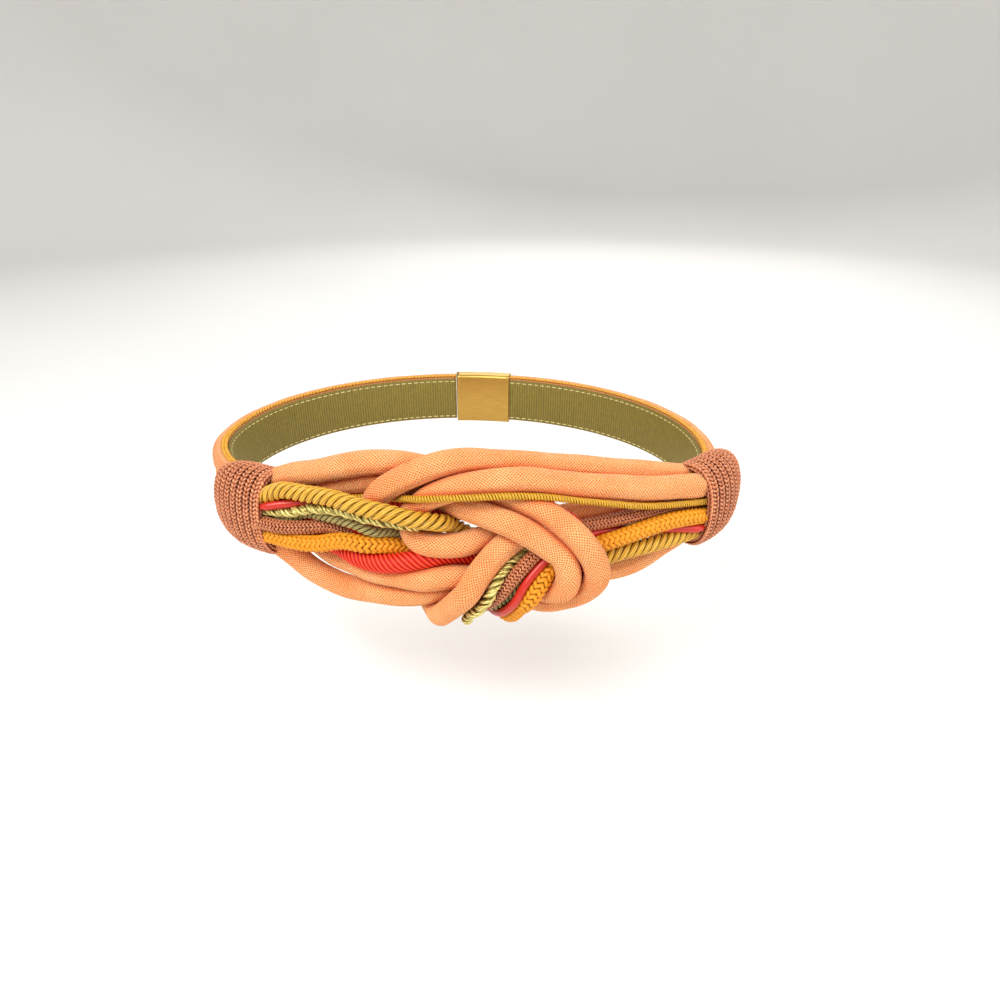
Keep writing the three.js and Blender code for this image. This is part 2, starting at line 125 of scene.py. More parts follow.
# routes of the cords, each point (along, up, out) to the cord's middle
routes = {
    "ringCordOuter": [
        (-0.074, 0.023, 0.011), (-0.069, 0.025, 0.011), (-0.06, 0.029, 0.011), (-0.05, 0.032, 0.0105),
        (-0.038, 0.036, 0.01), (-0.027, 0.0385, 0.009), (-0.015, 0.0385, 0.007),
        (-0.003, 0.036, 0.0055), (0.008, 0.0335, 0.0065), (0.018, 0.03, 0.0095), (0.027, 0.028, 0.013),
        (0.034, 0.0265, 0.017), (0.041, 0.0245, 0.0215), (0.0475, 0.0205, 0.0265),
        (0.052, 0.0165, 0.0305), (0.056, 0.0105, 0.033), (0.0585, 0.005, 0.0335), (0.06, -0.002, 0.033),
        (0.0595, -0.0085, 0.03), (0.057, -0.015, 0.0255), (0.0525, -0.0205, 0.0205),
        (0.045, -0.024, 0.0165), (0.036, -0.0225, 0.014), (0.026, -0.02, 0.0135),
        (0.016, -0.0175, 0.0148), (0.006, -0.017, 0.0158), (-0.006, -0.0205, 0.016),
        (-0.017, -0.0225, 0.0155), (-0.029, -0.024, 0.0135), (-0.0395, -0.024, 0.013),
        (-0.049, -0.0215, 0.013), (-0.0575, -0.0175, 0.0135), (-0.065, -0.012, 0.014),
        (-0.069, -0.0085, 0.015), (-0.074, -0.005, 0.016),
    ],
    "ringCordInner": [
        (-0.074, 0.015, 0.006), (-0.069, 0.0157, 0.0058), (-0.06, 0.019, 0.0054),
        (-0.048, 0.023, 0.0054), (-0.036, 0.027, 0.0054), (-0.025, 0.029, 0.0054),
        (-0.013, 0.027, 0.0054), (-0.003, 0.025, 0.0055), (0.0055, 0.0235, 0.0095),
        (0.014, 0.0225, 0.015), (0.022, 0.0215, 0.02), (0.03, 0.0195, 0.024), (0.0365, 0.016, 0.0265),
        (0.043, 0.011, 0.0285), (0.0475, 0.0065, 0.03), (0.0495, 0.001, 0.031), (0.05, -0.004, 0.031),
        (0.049, -0.01, 0.029), (0.0445, -0.0145, 0.023), (0.037, -0.013, 0.0185),
        (0.028, -0.0105, 0.0183), (0.018, -0.0085, 0.0205), (0.007, -0.0075, 0.0215),
        (-0.004, -0.01, 0.0205), (-0.015, -0.0115, 0.017), (-0.026, -0.012, 0.0149),
        (-0.037, -0.011, 0.0115), (-0.0475, -0.0095, 0.0095), (-0.056, -0.006, 0.0075),
        (-0.062, -0.0025, 0.006), (-0.069, 0.0045, 0.0054), (-0.074, 0.009, 0.0054),
    ],
    "twillCord": [
        (-0.074, 0.014, 0.016), (-0.069, 0.013, 0.015), (-0.062, 0.0103, 0.012), (-0.053, 0.012, 0.009),
        (-0.044, 0.014, 0.0065), (-0.033, 0.018, 0.0045), (-0.021, 0.0185, 0.0045),
        (-0.009, 0.016, 0.0045), (0.004, 0.015, 0.0045), (0.015, 0.0175, 0.005),
        (0.025, 0.0195, 0.0065), (0.034, 0.021, 0.0085), (0.0415, 0.0215, 0.0115),
        (0.0475, 0.019, 0.016), (0.053, 0.0155, 0.0205), (0.056, 0.008, 0.0235),
        (0.056, 0.0005, 0.0245), (0.055, -0.004, 0.023), (0.0525, -0.007, 0.0205),
        (0.0485, -0.0075, 0.0175), (0.043, -0.006, 0.015), (0.032, -0.003, 0.0135),
        (0.018, -0.0015, 0.0135), (0.005, 0, 0.0155), (-0.007, -0.001, 0.0195), (-0.018, -0.003, 0.021),
        (-0.0305, -0.0035, 0.0185), (-0.042, -0.001, 0.0145), (-0.0525, 0, 0.014),
        (-0.0615, 0.0015, 0.015), (-0.069, 0.0025, 0.015), (-0.074, 0.004, 0.016),
    ],
    "bandCordBack": [
        (0.114, 0.021, 0.0085), (0.109, 0.022, 0.008), (0.099, 0.025, 0.0065), (0.088, 0.028, 0.0055),
        (0.076, 0.031, 0.0055), (0.064, 0.034, 0.0055), (0.051, 0.0365, 0.0055), (0.038, 0.039, 0.0065),
        (0.025, 0.041, 0.0085), (0.013, 0.0425, 0.0105), (0.003, 0.042, 0.0135), (-0.006, 0.039, 0.016),
        (-0.0135, 0.035, 0.017), (-0.0205, 0.029, 0.017), (-0.0245, 0.0215, 0.0165),
        (-0.0265, 0.014, 0.0125), (-0.0275, 0.006, 0.006), (-0.027, -0.0015, 0.0052),
        (-0.022, -0.0085, 0.0054), (-0.016, -0.016, 0.0054), (-0.01, -0.0225, 0.0055),
        (-0.005, -0.028, 0.008), (-0.0015, -0.03, 0.013), (0.0015, -0.0285, 0.0195),
        (0.005, -0.023, 0.0245), (0.0095, -0.0155, 0.0288), (0.0135, -0.0085, 0.0315),
        (0.0175, -0.0015, 0.029), (0.0225, 0.0045, 0.025), (0.0285, 0.009, 0.021),
        (0.035, 0.011, 0.0165), (0.043, 0.0115, 0.0105), (0.052, 0.012, 0.0065), (0.063, 0.012, 0.0054),
        (0.076, 0.0115, 0.0054), (0.089, 0.0105, 0.0054), (0.101, 0.0105, 0.0054), (0.109, 0.01, 0.006),
        (0.114, 0.01, 0.006),
    ],
    "bandCordFront": [
        (0.114, 0.02, 0.018), (0.109, 0.0208, 0.0183), (0.099, 0.023, 0.017), (0.087, 0.025, 0.016),
        (0.074, 0.028, 0.0155), (0.061, 0.031, 0.016), (0.048, 0.034, 0.0165), (0.036, 0.037, 0.0175),
        (0.024, 0.037, 0.0185), (0.014, 0.035, 0.018), (0.0055, 0.032, 0.0175), (-0.001, 0.0285, 0.017),
        (-0.0055, 0.024, 0.016), (-0.0085, 0.02, 0.0145), (-0.0095, 0.015, 0.014),
        (-0.008, 0.01, 0.0165), (-0.0035, 0.0085, 0.02), (0.003, 0.008, 0.021), (0.01, 0.008, 0.02),
        (0.019, 0.008, 0.015), (0.0275, 0.0065, 0.01), (0.0355, 0.004, 0.0072), (0.044, -0.001, 0.006),
        (0.055, -0.0075, 0.0055), (0.062, -0.014, 0.0058), (0.0705, -0.018, 0.0065),
        (0.0795, -0.0185, 0.007), (0.0905, -0.016, 0.008), (0.101, -0.011, 0.009),
        (0.109, -0.007, 0.011), (0.114, -0.005, 0.012),
    ],
    "gimpCord": [
        (-0.074, 0.019, 0.017), (-0.069, 0.019, 0.016), (-0.056, 0.019, 0.013), (-0.042, 0.0205, 0.011),
        (-0.031, 0.022, 0.0095), (-0.025, 0.023, 0.009), (-0.0205, 0.0235, 0.0105),
        (-0.0135, 0.0265, 0.016), (-0.0055, 0.03, 0.022), (0.004, 0.032, 0.0245), (0.016, 0.033, 0.025),
        (0.028, 0.033, 0.024), (0.041, 0.0315, 0.023), (0.054, 0.028, 0.022), (0.067, 0.024, 0.0205),
        (0.08, 0.02, 0.02), (0.093, 0.017, 0.02), (0.104, 0.015, 0.021), (0.109, 0.014, 0.022),
        (0.114, 0.0135, 0.023),
    ],
    "goldRope": [
        (-0.074, 0.018, 0.021), (-0.069, 0.021, 0.021), (-0.061, 0.0255, 0.021),
        (-0.05, 0.0265, 0.0215), (-0.037, 0.0275, 0.0235), (-0.025, 0.0265, 0.026),
        (-0.016, 0.025, 0.026), (-0.0065, 0.0225, 0.0255), (0.002, 0.019, 0.021),
        (0.006, 0.014, 0.0135), (0.011, 0.008, 0.009), (0.0195, 0.0015, 0.006), (0.028, -0.004, 0.005),
        (0.0375, -0.0085, 0.0065), (0.0455, -0.012, 0.0095), (0.054, -0.0125, 0.0135),
        (0.0615, -0.009, 0.015), (0.0715, -0.0055, 0.0155), (0.0795, -0.004, 0.0165),
        (0.0895, -0.003, 0.0175), (0.0995, -0.0025, 0.0185), (0.109, -0.0025, 0.019),
        (0.114, -0.003, 0.02),
    ],
    "satinCord": [
        (-0.074, 0.015, 0.025), (-0.069, 0.017, 0.025), (-0.061, 0.019, 0.0217),
        (-0.0525, 0.019, 0.0167), (-0.0435, 0.0155, 0.0145), (-0.034, 0.0105, 0.016),
        (-0.027, 0.0065, 0.0155), (-0.018, 0.002, 0.0095), (-0.01, -0.005, 0.005),
        (-0.0025, -0.0115, 0.0025), (0.006, -0.0166, 0.002), (0.014, -0.0225, 0.003),
        (0.018, -0.026, 0.0055), (0.021, -0.0285, 0.012), (0.024, -0.028, 0.018),
        (0.027, -0.0235, 0.0245), (0.031, -0.0155, 0.029), (0.0345, -0.0075, 0.0285),
        (0.039, -0.0015, 0.0265), (0.046, 0.0045, 0.0235), (0.055, 0.0065, 0.0175),
        (0.066, 0.006, 0.013), (0.079, 0.0045, 0.0125), (0.091, 0.0035, 0.0155),
        (0.1025, 0.0025, 0.021), (0.109, 0.0018, 0.0248), (0.114, 0.002, 0.025),
    ],
    "metallicRope": [
        (-0.074, 0.013, 0.022), (-0.069, 0.014, 0.022), (-0.0595, 0.015, 0.021),
        (-0.0485, 0.019, 0.0205), (-0.0355, 0.021, 0.022), (-0.023, 0.02, 0.024),
        (-0.0115, 0.018, 0.0225), (-0.0065, 0.017, 0.0215), (-0.0025, 0.0155, 0.017),
        (0, 0.008, 0.0115), (0.003, -0.0015, 0.006), (0.0066, -0.01, 0.0045), (0.0098, -0.017, 0.0072),
        (0.0115, -0.0225, 0.0103), (0.0123, -0.0256, 0.012), (0.013, -0.0285, 0.0145),
        (0.013, -0.0305, 0.018), (0.0125, -0.029, 0.023), (0.0145, -0.023, 0.027),
        (0.018, -0.0175, 0.0305), (0.0215, -0.0105, 0.0315), (0.0245, -0.004, 0.029),
        (0.029, 0.0005, 0.024), (0.036, 0.0035, 0.0185), (0.046, 0.0055, 0.014),
        (0.0575, 0.0055, 0.0095), (0.0695, 0.0035, 0.007), (0.0835, 0.002, 0.008),
        (0.0955, 0.001, 0.011), (0.105, 0.0005, 0.013), (0.109, 0.001, 0.014), (0.114, 0.001, 0.015),
    ],
    "oliveRope": [
        (-0.074, 0.006, 0.019), (-0.069, 0.007, 0.0195), (-0.0615, 0.0103, 0.0192),
        (-0.0525, 0.014, 0.0175), (-0.0425, 0.015, 0.019), (-0.0315, 0.014, 0.02),
        (-0.024, 0.0115, 0.02), (-0.0175, 0.0088, 0.014), (-0.0115, 0.0045, 0.0075),
        (-0.006, -0.0005, 0.005), (-0.0015, -0.007, 0.0045), (0.0033, -0.0155, 0.006),
        (0.008, -0.0217, 0.005), (0.014, -0.025, 0.0075), (0.018, -0.026, 0.012),
        (0.0205, -0.0255, 0.017), (0.024, -0.0225, 0.021), (0.0275, -0.018, 0.023),
        (0.0315, -0.012, 0.0254), (0.035, -0.0055, 0.023), (0.0395, -0.001, 0.02),
        (0.0465, 0.0005, 0.014), (0.0555, 0.001, 0.008), (0.067, -0.0005, 0.0055),
        (0.081, -0.001, 0.0045), (0.093, 0.0005, 0.005), (0.103, 0.0035, 0.009), (0.109, 0.0055, 0.014),
        (0.114, 0.007, 0.017),
    ],
    "copperKnitCord": [
        (-0.074, 0.008, 0.025), (-0.069, 0.009, 0.025), (-0.062, 0.009, 0.0245), (-0.053, 0.009, 0.021),
        (-0.0435, 0.0085, 0.016), (-0.032, 0.004, 0.0143), (-0.023, -0.0005, 0.013),
        (-0.013, -0.008, 0.0095), (-0.006, -0.0145, 0.0075), (0.0005, -0.021, 0.007),
        (0.0043, -0.0245, 0.01), (0.0085, -0.0255, 0.0155), (0.0125, -0.0245, 0.0195),
        (0.016, -0.023, 0.0215), (0.0205, -0.019, 0.0245), (0.025, -0.013, 0.027),
        (0.029, -0.0065, 0.0275), (0.034, 0, 0.026), (0.04, 0.0055, 0.023), (0.047, 0.0085, 0.018),
        (0.057, 0.0105, 0.014), (0.069, 0.0115, 0.014), (0.083, 0.012, 0.014), (0.096, 0.012, 0.014),
        (0.105, 0.012, 0.0155), (0.109, 0.012, 0.017), (0.114, 0.012, 0.019),
    ],
    "orangeKnitCord": [
        (-0.074, 0.001, 0.023), (-0.069, 0.002, 0.023), (-0.058, 0.002, 0.023), (-0.047, 0.003, 0.0225),
        (-0.036, 0.006, 0.0215), (-0.0265, 0.0055, 0.021), (-0.019, 0.004, 0.017),
        (-0.0105, -0.0005, 0.012), (0, -0.006, 0.0105), (0.0095, -0.0085, 0.0105),
        (0.0165, -0.0135, 0.0065), (0.022, -0.0205, 0.0045), (0.0255, -0.0275, 0.0075),
        (0.028, -0.0305, 0.0145), (0.0305, -0.028, 0.02), (0.033, -0.0215, 0.0245),
        (0.0365, -0.015, 0.0285), (0.04, -0.0085, 0.028), (0.045, -0.0025, 0.0235),
        (0.051, 0.001, 0.018), (0.06, 0.0005, 0.016), (0.071, 0.0035, 0.0175), (0.083, 0.0065, 0.0185),
        (0.095, 0.0085, 0.02), (0.104, 0.008, 0.0215), (0.109, 0.007, 0.022), (0.114, 0.006, 0.023),
    ],
}


# one smooth line through a route's points, cut into even steps
def smoothLine(points, step):
    points = [2 * points[0] - points[1], *points, 2 * points[-1] - points[-2]]
    fine = []
    for i in range(1, len(points) - 2):
        p0, p1, p2, p3 = points[i - 1:i + 3]
        t0, t1, t2 = ((b - a).length ** 0.5 for a, b in ((p0, p1), (p1, p2), (p2, p3)))
        start = ((p1 - p0) / t0 - (p2 - p0) / (t0 + t1) + (p2 - p1) / t1) * t1
        end = ((p2 - p1) / t1 - (p3 - p1) / (t1 + t2) + (p3 - p2) / t2) * t1
        for k in range(24):
            t = k / 24
            fine.append(
                p1 * (2 * t ** 3 - 3 * t ** 2 + 1) + start * (t ** 3 - 2 * t ** 2 + t)
                + p2 * (3 * t ** 2 - 2 * t ** 3) + end * (t ** 3 - t ** 2)
            )
    fine.append(points[-2])
    lengths = lengthsAlong(fine)
    count = round(lengths[-1] / step)
    even, k = [], 0
    for i in range(count + 1):
        target = lengths[-1] * i / count
        while k < len(fine) - 2 and lengths[k + 1] < target:
            k += 1
        even.append(fine[k].lerp(fine[k + 1], (target - lengths[k]) / (lengths[k + 1] - lengths[k])))
    return even


# the routes run 4 mm into the cuffs, and the cords stop this much short of that
endTrim = 0.0022


# the line of a cord with its heading, two sideways directions and its bend at every step
def cordLine(name, step):
    points = smoothLine([onBelt(*place) for place in routes[name]], step)
    hidden = round(endTrim / step)
    points = points[hidden:len(points) - hidden]
    headings = []
    for i in range(len(points)):
        headings.append((points[min(i + 1, len(points) - 1)] - points[max(i - 1, 0)]).normalized())
    side = headings[0].cross(Vector((0, 0, 1))).normalized()
    line = []
    for i, (point, heading) in enumerate(zip(points, headings)):
        side = (side - heading * side.dot(heading)).normalized()
        bend = headings[min(i + 3, len(points) - 1)] - headings[max(i - 3, 0)]
        line.append({
            "point": point,
            "heading": heading,
            "side": side,
            "up": heading.cross(side),
            "bend": bend / (6 * step),
            "along": i * step,
        })
    return line


def linkObject(name, mesh):
    made = bpy.data.objects.new(name, mesh)
    bpy.context.scene.collection.objects.link(made)
    return made


# a closed skin through rings of points, with a UV map in metres along and round it
def skinRings(name, rings, alongs, girth, closeEnds=True):
    count = len(rings[0])
    points = [point for ring in rings for point in ring]
    faces, places = [], []
    for r in range(len(rings) - 1):
        for i in range(count):
            j = (i + 1) % count
            faces.append((r * count + i, r * count + j, (r + 1) * count + j, (r + 1) * count + i))
            low, high = i / count * girth, (i + 1) / count * girth
            places += [(alongs[r], low), (alongs[r], high), (alongs[r + 1], high), (alongs[r + 1], low)]
    if closeEnds:
        faces.append(tuple(reversed(range(count))))
        faces.append(tuple((len(rings) - 1) * count + i for i in range(count)))
        places += [(alongs[0], 0)] * count + [(alongs[-1], 0)] * count
    mesh = bpy.data.meshes.new(name)
    mesh.from_pydata(points, [], faces)
    layer = mesh.uv_layers.new(name="cloth")
    for loop, place in zip(layer.data, places):
        loop.uv = place
    mesh.shade_smooth()
    return linkObject(name, mesh)


# the direction straight out of a cord's line, at some angle round it
def outOf(here, angle):
    return here["side"] * math.cos(angle) + here["up"] * math.sin(angle)


# a round cord whose radius may change with the place along and round it
def skinCord(name, line, sides, girth, radiusAt):
    rings = []
    for here in line:
        ring = []
        for i in range(sides):
            angle = 2 * math.pi * i / sides
            out = outOf(here, angle)
            ring.append(here["point"] + out * radiusAt(here, angle, out))
        rings.append(ring)
    return skinRings(name, rings, [here["along"] for here in line], girth)


# every sRGB hex colour is turned to the linear one that a shader takes
def colour(text):
    parts = [int(text[i:i + 2], 16) / 255 for i in (1, 3, 5)]
    linear = [c / 12.92 if c <= 0.04045 else ((c + 0.055) / 1.055) ** 2.4 for c in parts]
    return (*linear, 1)


# gives the function that adds nodes to a tree: its inputs go in order to the sockets in use, or by name
# from a dictionary, and it gives back the first output in use
def nodeAdder(tree):
    def add(kind, *inputs, **settings):
        families = ("ShaderNode", "GeometryNode", "FunctionNode", "")
        node = tree.nodes.new(next(f + kind for f in families if hasattr(bpy.types, f + kind)))
        for name, value in settings.items():
            setattr(node, name, value)
        used = [socket for socket in node.inputs if socket.enabled]
        given = inputs[0] if inputs and isinstance(inputs[0], dict) else dict(enumerate(inputs))
        for place, value in given.items():
            socket = used[place] if isinstance(place, int) else node.inputs[place]
            if isinstance(value, bpy.types.NodeSocket):
                tree.links.new(value, socket)
            else:
                socket.default_value = value
        return next((socket for socket in node.outputs if socket.enabled), node)

    return add


def startMaterial(name, settings):
    material = bpy.data.materials.new(name)
    material.use_nodes = True
    shader = next(node for node in material.node_tree.nodes if node.type == "BSDF_PRINCIPLED")
    for socket, value in settings.items():
        shader.inputs[socket].default_value = value
    return material, nodeAdder(material.node_tree), shader


def finishMaterial(shader, base, bump):
    shader.id_data.links.new(base, shader.inputs["Base Color"])
    shader.id_data.links.new(bump, shader.inputs["Normal"])


# Linen, bias cut and plain woven: matt, fuzzy, with a pit between every four crossings of its threads, each
# pit darkened with painted shade
def linenCloth(name, look):
    material, add, shader = startMaterial(name, {
        "Roughness": 0.92,
        "Specular IOR Level": 0.25,
        "Sheen Weight": 0.2,
        "Sheen Roughness": 0.4,
        "Sheen Tint": colour(look["sheen"]),
        "Subsurface Weight": 0.3,
        "Subsurface Radius": (1, 0.35, 0.15),
        "Subsurface Scale": 0.0025,
    })
    cloth = add("UVMap", uv_map="cloth")
    waver = add("TexNoise", {"Vector": cloth, "Scale": look["waver scale"], "Detail": 1})
    waver = add("VectorMath", waver.node.outputs["Color"], (0.5, 0.5, 0.5), operation="SUBTRACT")
    waver = add("VectorMath", waver, look["thread pitch"] * look["waver"], operation="SCALE")
    split = add("SeparateXYZ", add("VectorMath", cloth, waver, operation="ADD")).node.outputs
    threads = []
    for slant in ("ADD", "SUBTRACT"):
        across = add("Math", split[0], split[1], operation=slant)
        turns = add("Math", across, look["thread pitch"] * math.sqrt(2), operation="DIVIDE")
        crossing = add("Math", add("Math", turns, math.pi, operation="MULTIPLY"), operation="COSINE")
        threads.append(add("Math", crossing, operation="ABSOLUTE"))
    pit = add("Math", add("Math", *threads, operation="MULTIPLY"), look["pit spread"], operation="POWER")
    place = add("TexCoord").node.outputs["Object"]
    slubs = add("TexNoise", {"Vector": place, "Scale": look["slub scale"], "Detail": 2})
    dye = add("TexNoise", {"Vector": place, "Scale": look["dye scale"], "Detail": 3})
    dye = add("Math", dye, 0.5, operation="SUBTRACT")
    dye = add("Math", dye, look["dye contrast"], 0.5, operation="MULTIPLY_ADD", use_clamp=True)
    slubShare = add("Math", slubs, 0.35, operation="MULTIPLY")
    crowdShade = add("Attribute", attribute_name="crowdShade").node.outputs["Fac"]
    # painted shade in the pits between the threads
    pitShare = add("Math", pit, look["pit strength"], operation="MULTIPLY")
    tone = add("Mix", dye, colour(look["warm"]), colour(look["thread"]), data_type="RGBA")
    tone = add("Mix", slubShare, tone, colour(look["pale"]), data_type="RGBA")
    # painted shade where another cord lies close
    tone = add("Mix", crowdShade, tone, colour(look["crowdShade"]), data_type="RGBA")
    tone = add("Mix", pitShare, tone, colour(look["pit"]), data_type="RGBA")
    height = add("Math", add("Math", slubs, 0.8, operation="MULTIPLY"), pit, operation="SUBTRACT")
    bump = add("Bump", {"Strength": 0.8, "Distance": look["thread pitch"] * 0.4, "Height": height})
    finishMaterial(shader, tone, bump)
    return material


# Lustrous yarn: fine threads twisted along it, lighter on their crests with a painted highlight, and darkened
# with painted shade in the grooves between yarns and at stitch ends; each yarn a little different
def twistedYarn(name, look):
    material, add, shader = startMaterial(name, {
        "Roughness": look["roughness"],
        "Metallic": look.get("metallic", 0),
        "Specular IOR Level": 0.3,
        "Sheen Weight": look.get("sheen", 0.2),
        "Sheen Roughness": 0.4,
        "Sheen Tint": colour(look["light"]),
    })
    along, around, tone, height = (
        add("Attribute", attribute_name=label).node.outputs["Fac"]
        for label in ("along", "around", "tone", "height")
    )
    place = add("TexCoord").node.outputs["Object"]
    # painted highlight: the threads' crests are mixed towards the light colour
    twist = add("Math", along, look["thread lay"], operation="DIVIDE")
    turns = add("Math", around, look["threads"], twist, operation="MULTIPLY_ADD")
    crest = add("Math", add("Math", turns, math.pi, operation="MULTIPLY"), operation="SINE")
    crest = add("Math", crest, operation="ABSOLUTE")
    fleck = add("TexNoise", {"Vector": place, "Scale": look.get("fleck scale", 1400), "Detail": 2})
    fleck = add("Math", fleck, 0.5, operation="SUBTRACT")
    share = add("Math", tone, look.get("tone", 0.25), operation="MULTIPLY")
    share = add("Math", crest, 0.65, share, operation="MULTIPLY_ADD")
    share = add("Math", fleck, look["fleck"], share, operation="MULTIPLY_ADD", use_clamp=True)
    lit = add("Mix", share, colour(look["dark"]), colour(look["light"]), data_type="RGBA")
    # painted shade: where the height attribute is low, in grooves and at stitch ends, the colour turns to the
    # shadow colour
    raised = add("MapRange", height, look.get("groove", 0.0), look.get("crest", 0.6), 0, 1,
                 interpolation_type="SMOOTHSTEP")
    base = add("Mix", raised, colour(look.get("shadow", look["dark"])), lit, data_type="RGBA")
    bump = add("Bump", {"Strength": 0.6, "Distance": 0.0001, "Height": crest})
    finishMaterial(shader, base, bump)
    return material


# Painted shade: flat dark cloth seen only in gaps, behind the stitches, standing for the shade there
def gapShade(name, look):
    material, add, shader = startMaterial(name, {"Roughness": 0.9, "Specular IOR Level": 0.2})
    place = add("TexCoord").node.outputs["Object"]
    mottle = add("TexNoise", {"Vector": place, "Scale": 700, "Detail": 2})
    base = add("Mix", mottle, colour(look["dark"]), colour(look["light"]), data_type="RGBA")
    finishMaterial(shader, base, add("Bump", {"Strength": 0.4, "Distance": 0.0002, "Height": mottle}))
    return material


def startGeometryTree(name, inputs):
    tree = bpy.data.node_groups.new(name, "GeometryNodeTree")
    for label, kind in {"Geometry": "Geometry", **inputs}.items():
        tree.interface.new_socket(label, in_out="INPUT", socket_type=f"NodeSocket{kind}")
    tree.interface.new_socket("Geometry", in_out="OUTPUT", socket_type="NodeSocketGeometry")
    add = nodeAdder(tree)
    return tree, add, add("NodeGroupInput").node.outputs


# ends a geometry tree in plain smooth faces of one material
def endGeometryTree(add, geometry, material):
    real = add("RealizeInstances", {"Geometry": geometry})
    smooth = add("SetShadeSmooth", {"Geometry": real})
    add("NodeGroupOutput", add("SetMaterial", {"Geometry": smooth, "Material": material}))


# copies of each line, wound round it as a helix
def windCopies(add, line, copies, offset, lay):
    doubled = add("DuplicateElements", {"Geometry": line, "Amount": copies}, domain="SPLINE").node.outputs
    along = add("SplineParameter").node.outputs["Length"]
    start = add("Math", doubled["Duplicate Index"], copies, operation="DIVIDE")
    turns = add("Math", add("Math", along, lay, operation="DIVIDE"), start, operation="ADD")
    angle = add("Math", turns, 2 * math.pi, operation="MULTIPLY")
    normal = add("InputNormal")
    across = add("VectorMath", add("InputTangent"), normal, operation="CROSS_PRODUCT")
    sideways = add("VectorMath",
                   add("VectorMath", normal, add("Math", angle, operation="COSINE"), operation="SCALE"),
                   add("VectorMath", across, add("Math", angle, operation="SINE"), operation="SCALE"),
                   operation="ADD")
    away = add("VectorMath", sideways, offset, operation="SCALE")
    return add("SetPosition", {"Geometry": doubled["Geometry"], "Offset": away})


# a rope laid from strands, each laid from yarns whose section has a lobe for every thread
def ropeTree():
    tree, add, given = startGeometryTree("laid rope", {
        "Strands": "Int", "Strand offset": "Float", "Lay": "Float",
        "Yarns": "Int", "Yarn offset": "Float", "Yarn lay": "Float",
        "Yarn radius": "Float", "Sides": "Int", "Threads": "Int", "Thread depth": "Float",
        "Material": "Material",
    })
    axis = add("StoreNamedAttribute", {
        "Geometry": given["Geometry"], "Name": "axis", "Value": add("InputPosition"),
    }, data_type="FLOAT_VECTOR", domain="POINT")
    strands = windCopies(add, axis, given["Strands"], given["Strand offset"], given["Lay"])
    yarns = windCopies(add, strands, given["Yarns"], given["Yarn offset"], given["Yarn lay"])
    tone = add("RandomValue", {"Seed": 4}, data_type="FLOAT")
    yarns = add("StoreNamedAttribute", {"Geometry": yarns, "Name": "tone", "Value": tone},
                data_type="FLOAT", domain="CURVE")
    along = add("SplineParameter").node.outputs["Length"]
    yarns = add("StoreNamedAttribute", {"Geometry": yarns, "Name": "along", "Value": along},
                data_type="FLOAT", domain="POINT")
    section = add("CurvePrimitiveCircle", {"Resolution": given["Sides"], "Radius": given["Yarn radius"]})
    around = add("SplineParameter").node.outputs["Factor"]
    section = add("StoreNamedAttribute", {"Geometry": section, "Name": "around", "Value": around},
                  data_type="FLOAT", domain="POINT")
    lobes = add("Math", add("Math", around, given["Threads"], operation="MULTIPLY"), math.pi,
                operation="MULTIPLY")
    lobe = add("Math", add("Math", lobes, operation="SINE"), operation="ABSOLUTE")
    hollow = add("Math", 1, lobe, operation="SUBTRACT")
    hollow = add("Math", hollow, given["Thread depth"], operation="MULTIPLY")
    reach = add("Math", 1, hollow, operation="SUBTRACT")
    lobed = add("VectorMath", add("InputPosition"), reach, operation="SCALE")
    section = add("SetPosition", {"Geometry": section, "Position": lobed})
    skin = add("CurveToMesh", {"Curve": yarns, "Profile Curve": section, "Fill Caps": True})
    # the height out from the rope's middle, which the yarn's material turns into painted shade in the grooves
    middle = add("InputNamedAttribute", {"Name": "axis"}, data_type="FLOAT_VECTOR")
    away = add("VectorMath", add("InputPosition"), middle, operation="DISTANCE")
    outside = add("Math", given["Strand offset"], given["Yarn offset"], operation="ADD")
    outside = add("Math", outside, given["Yarn radius"], operation="ADD")
    height = add("Math", away, outside, operation="DIVIDE")
    skin = add("StoreNamedAttribute", {"Geometry": skin, "Name": "height", "Value": height},
               data_type="FLOAT", domain="POINT")
    endGeometryTree(add, skin, given["Material"])
    return tree


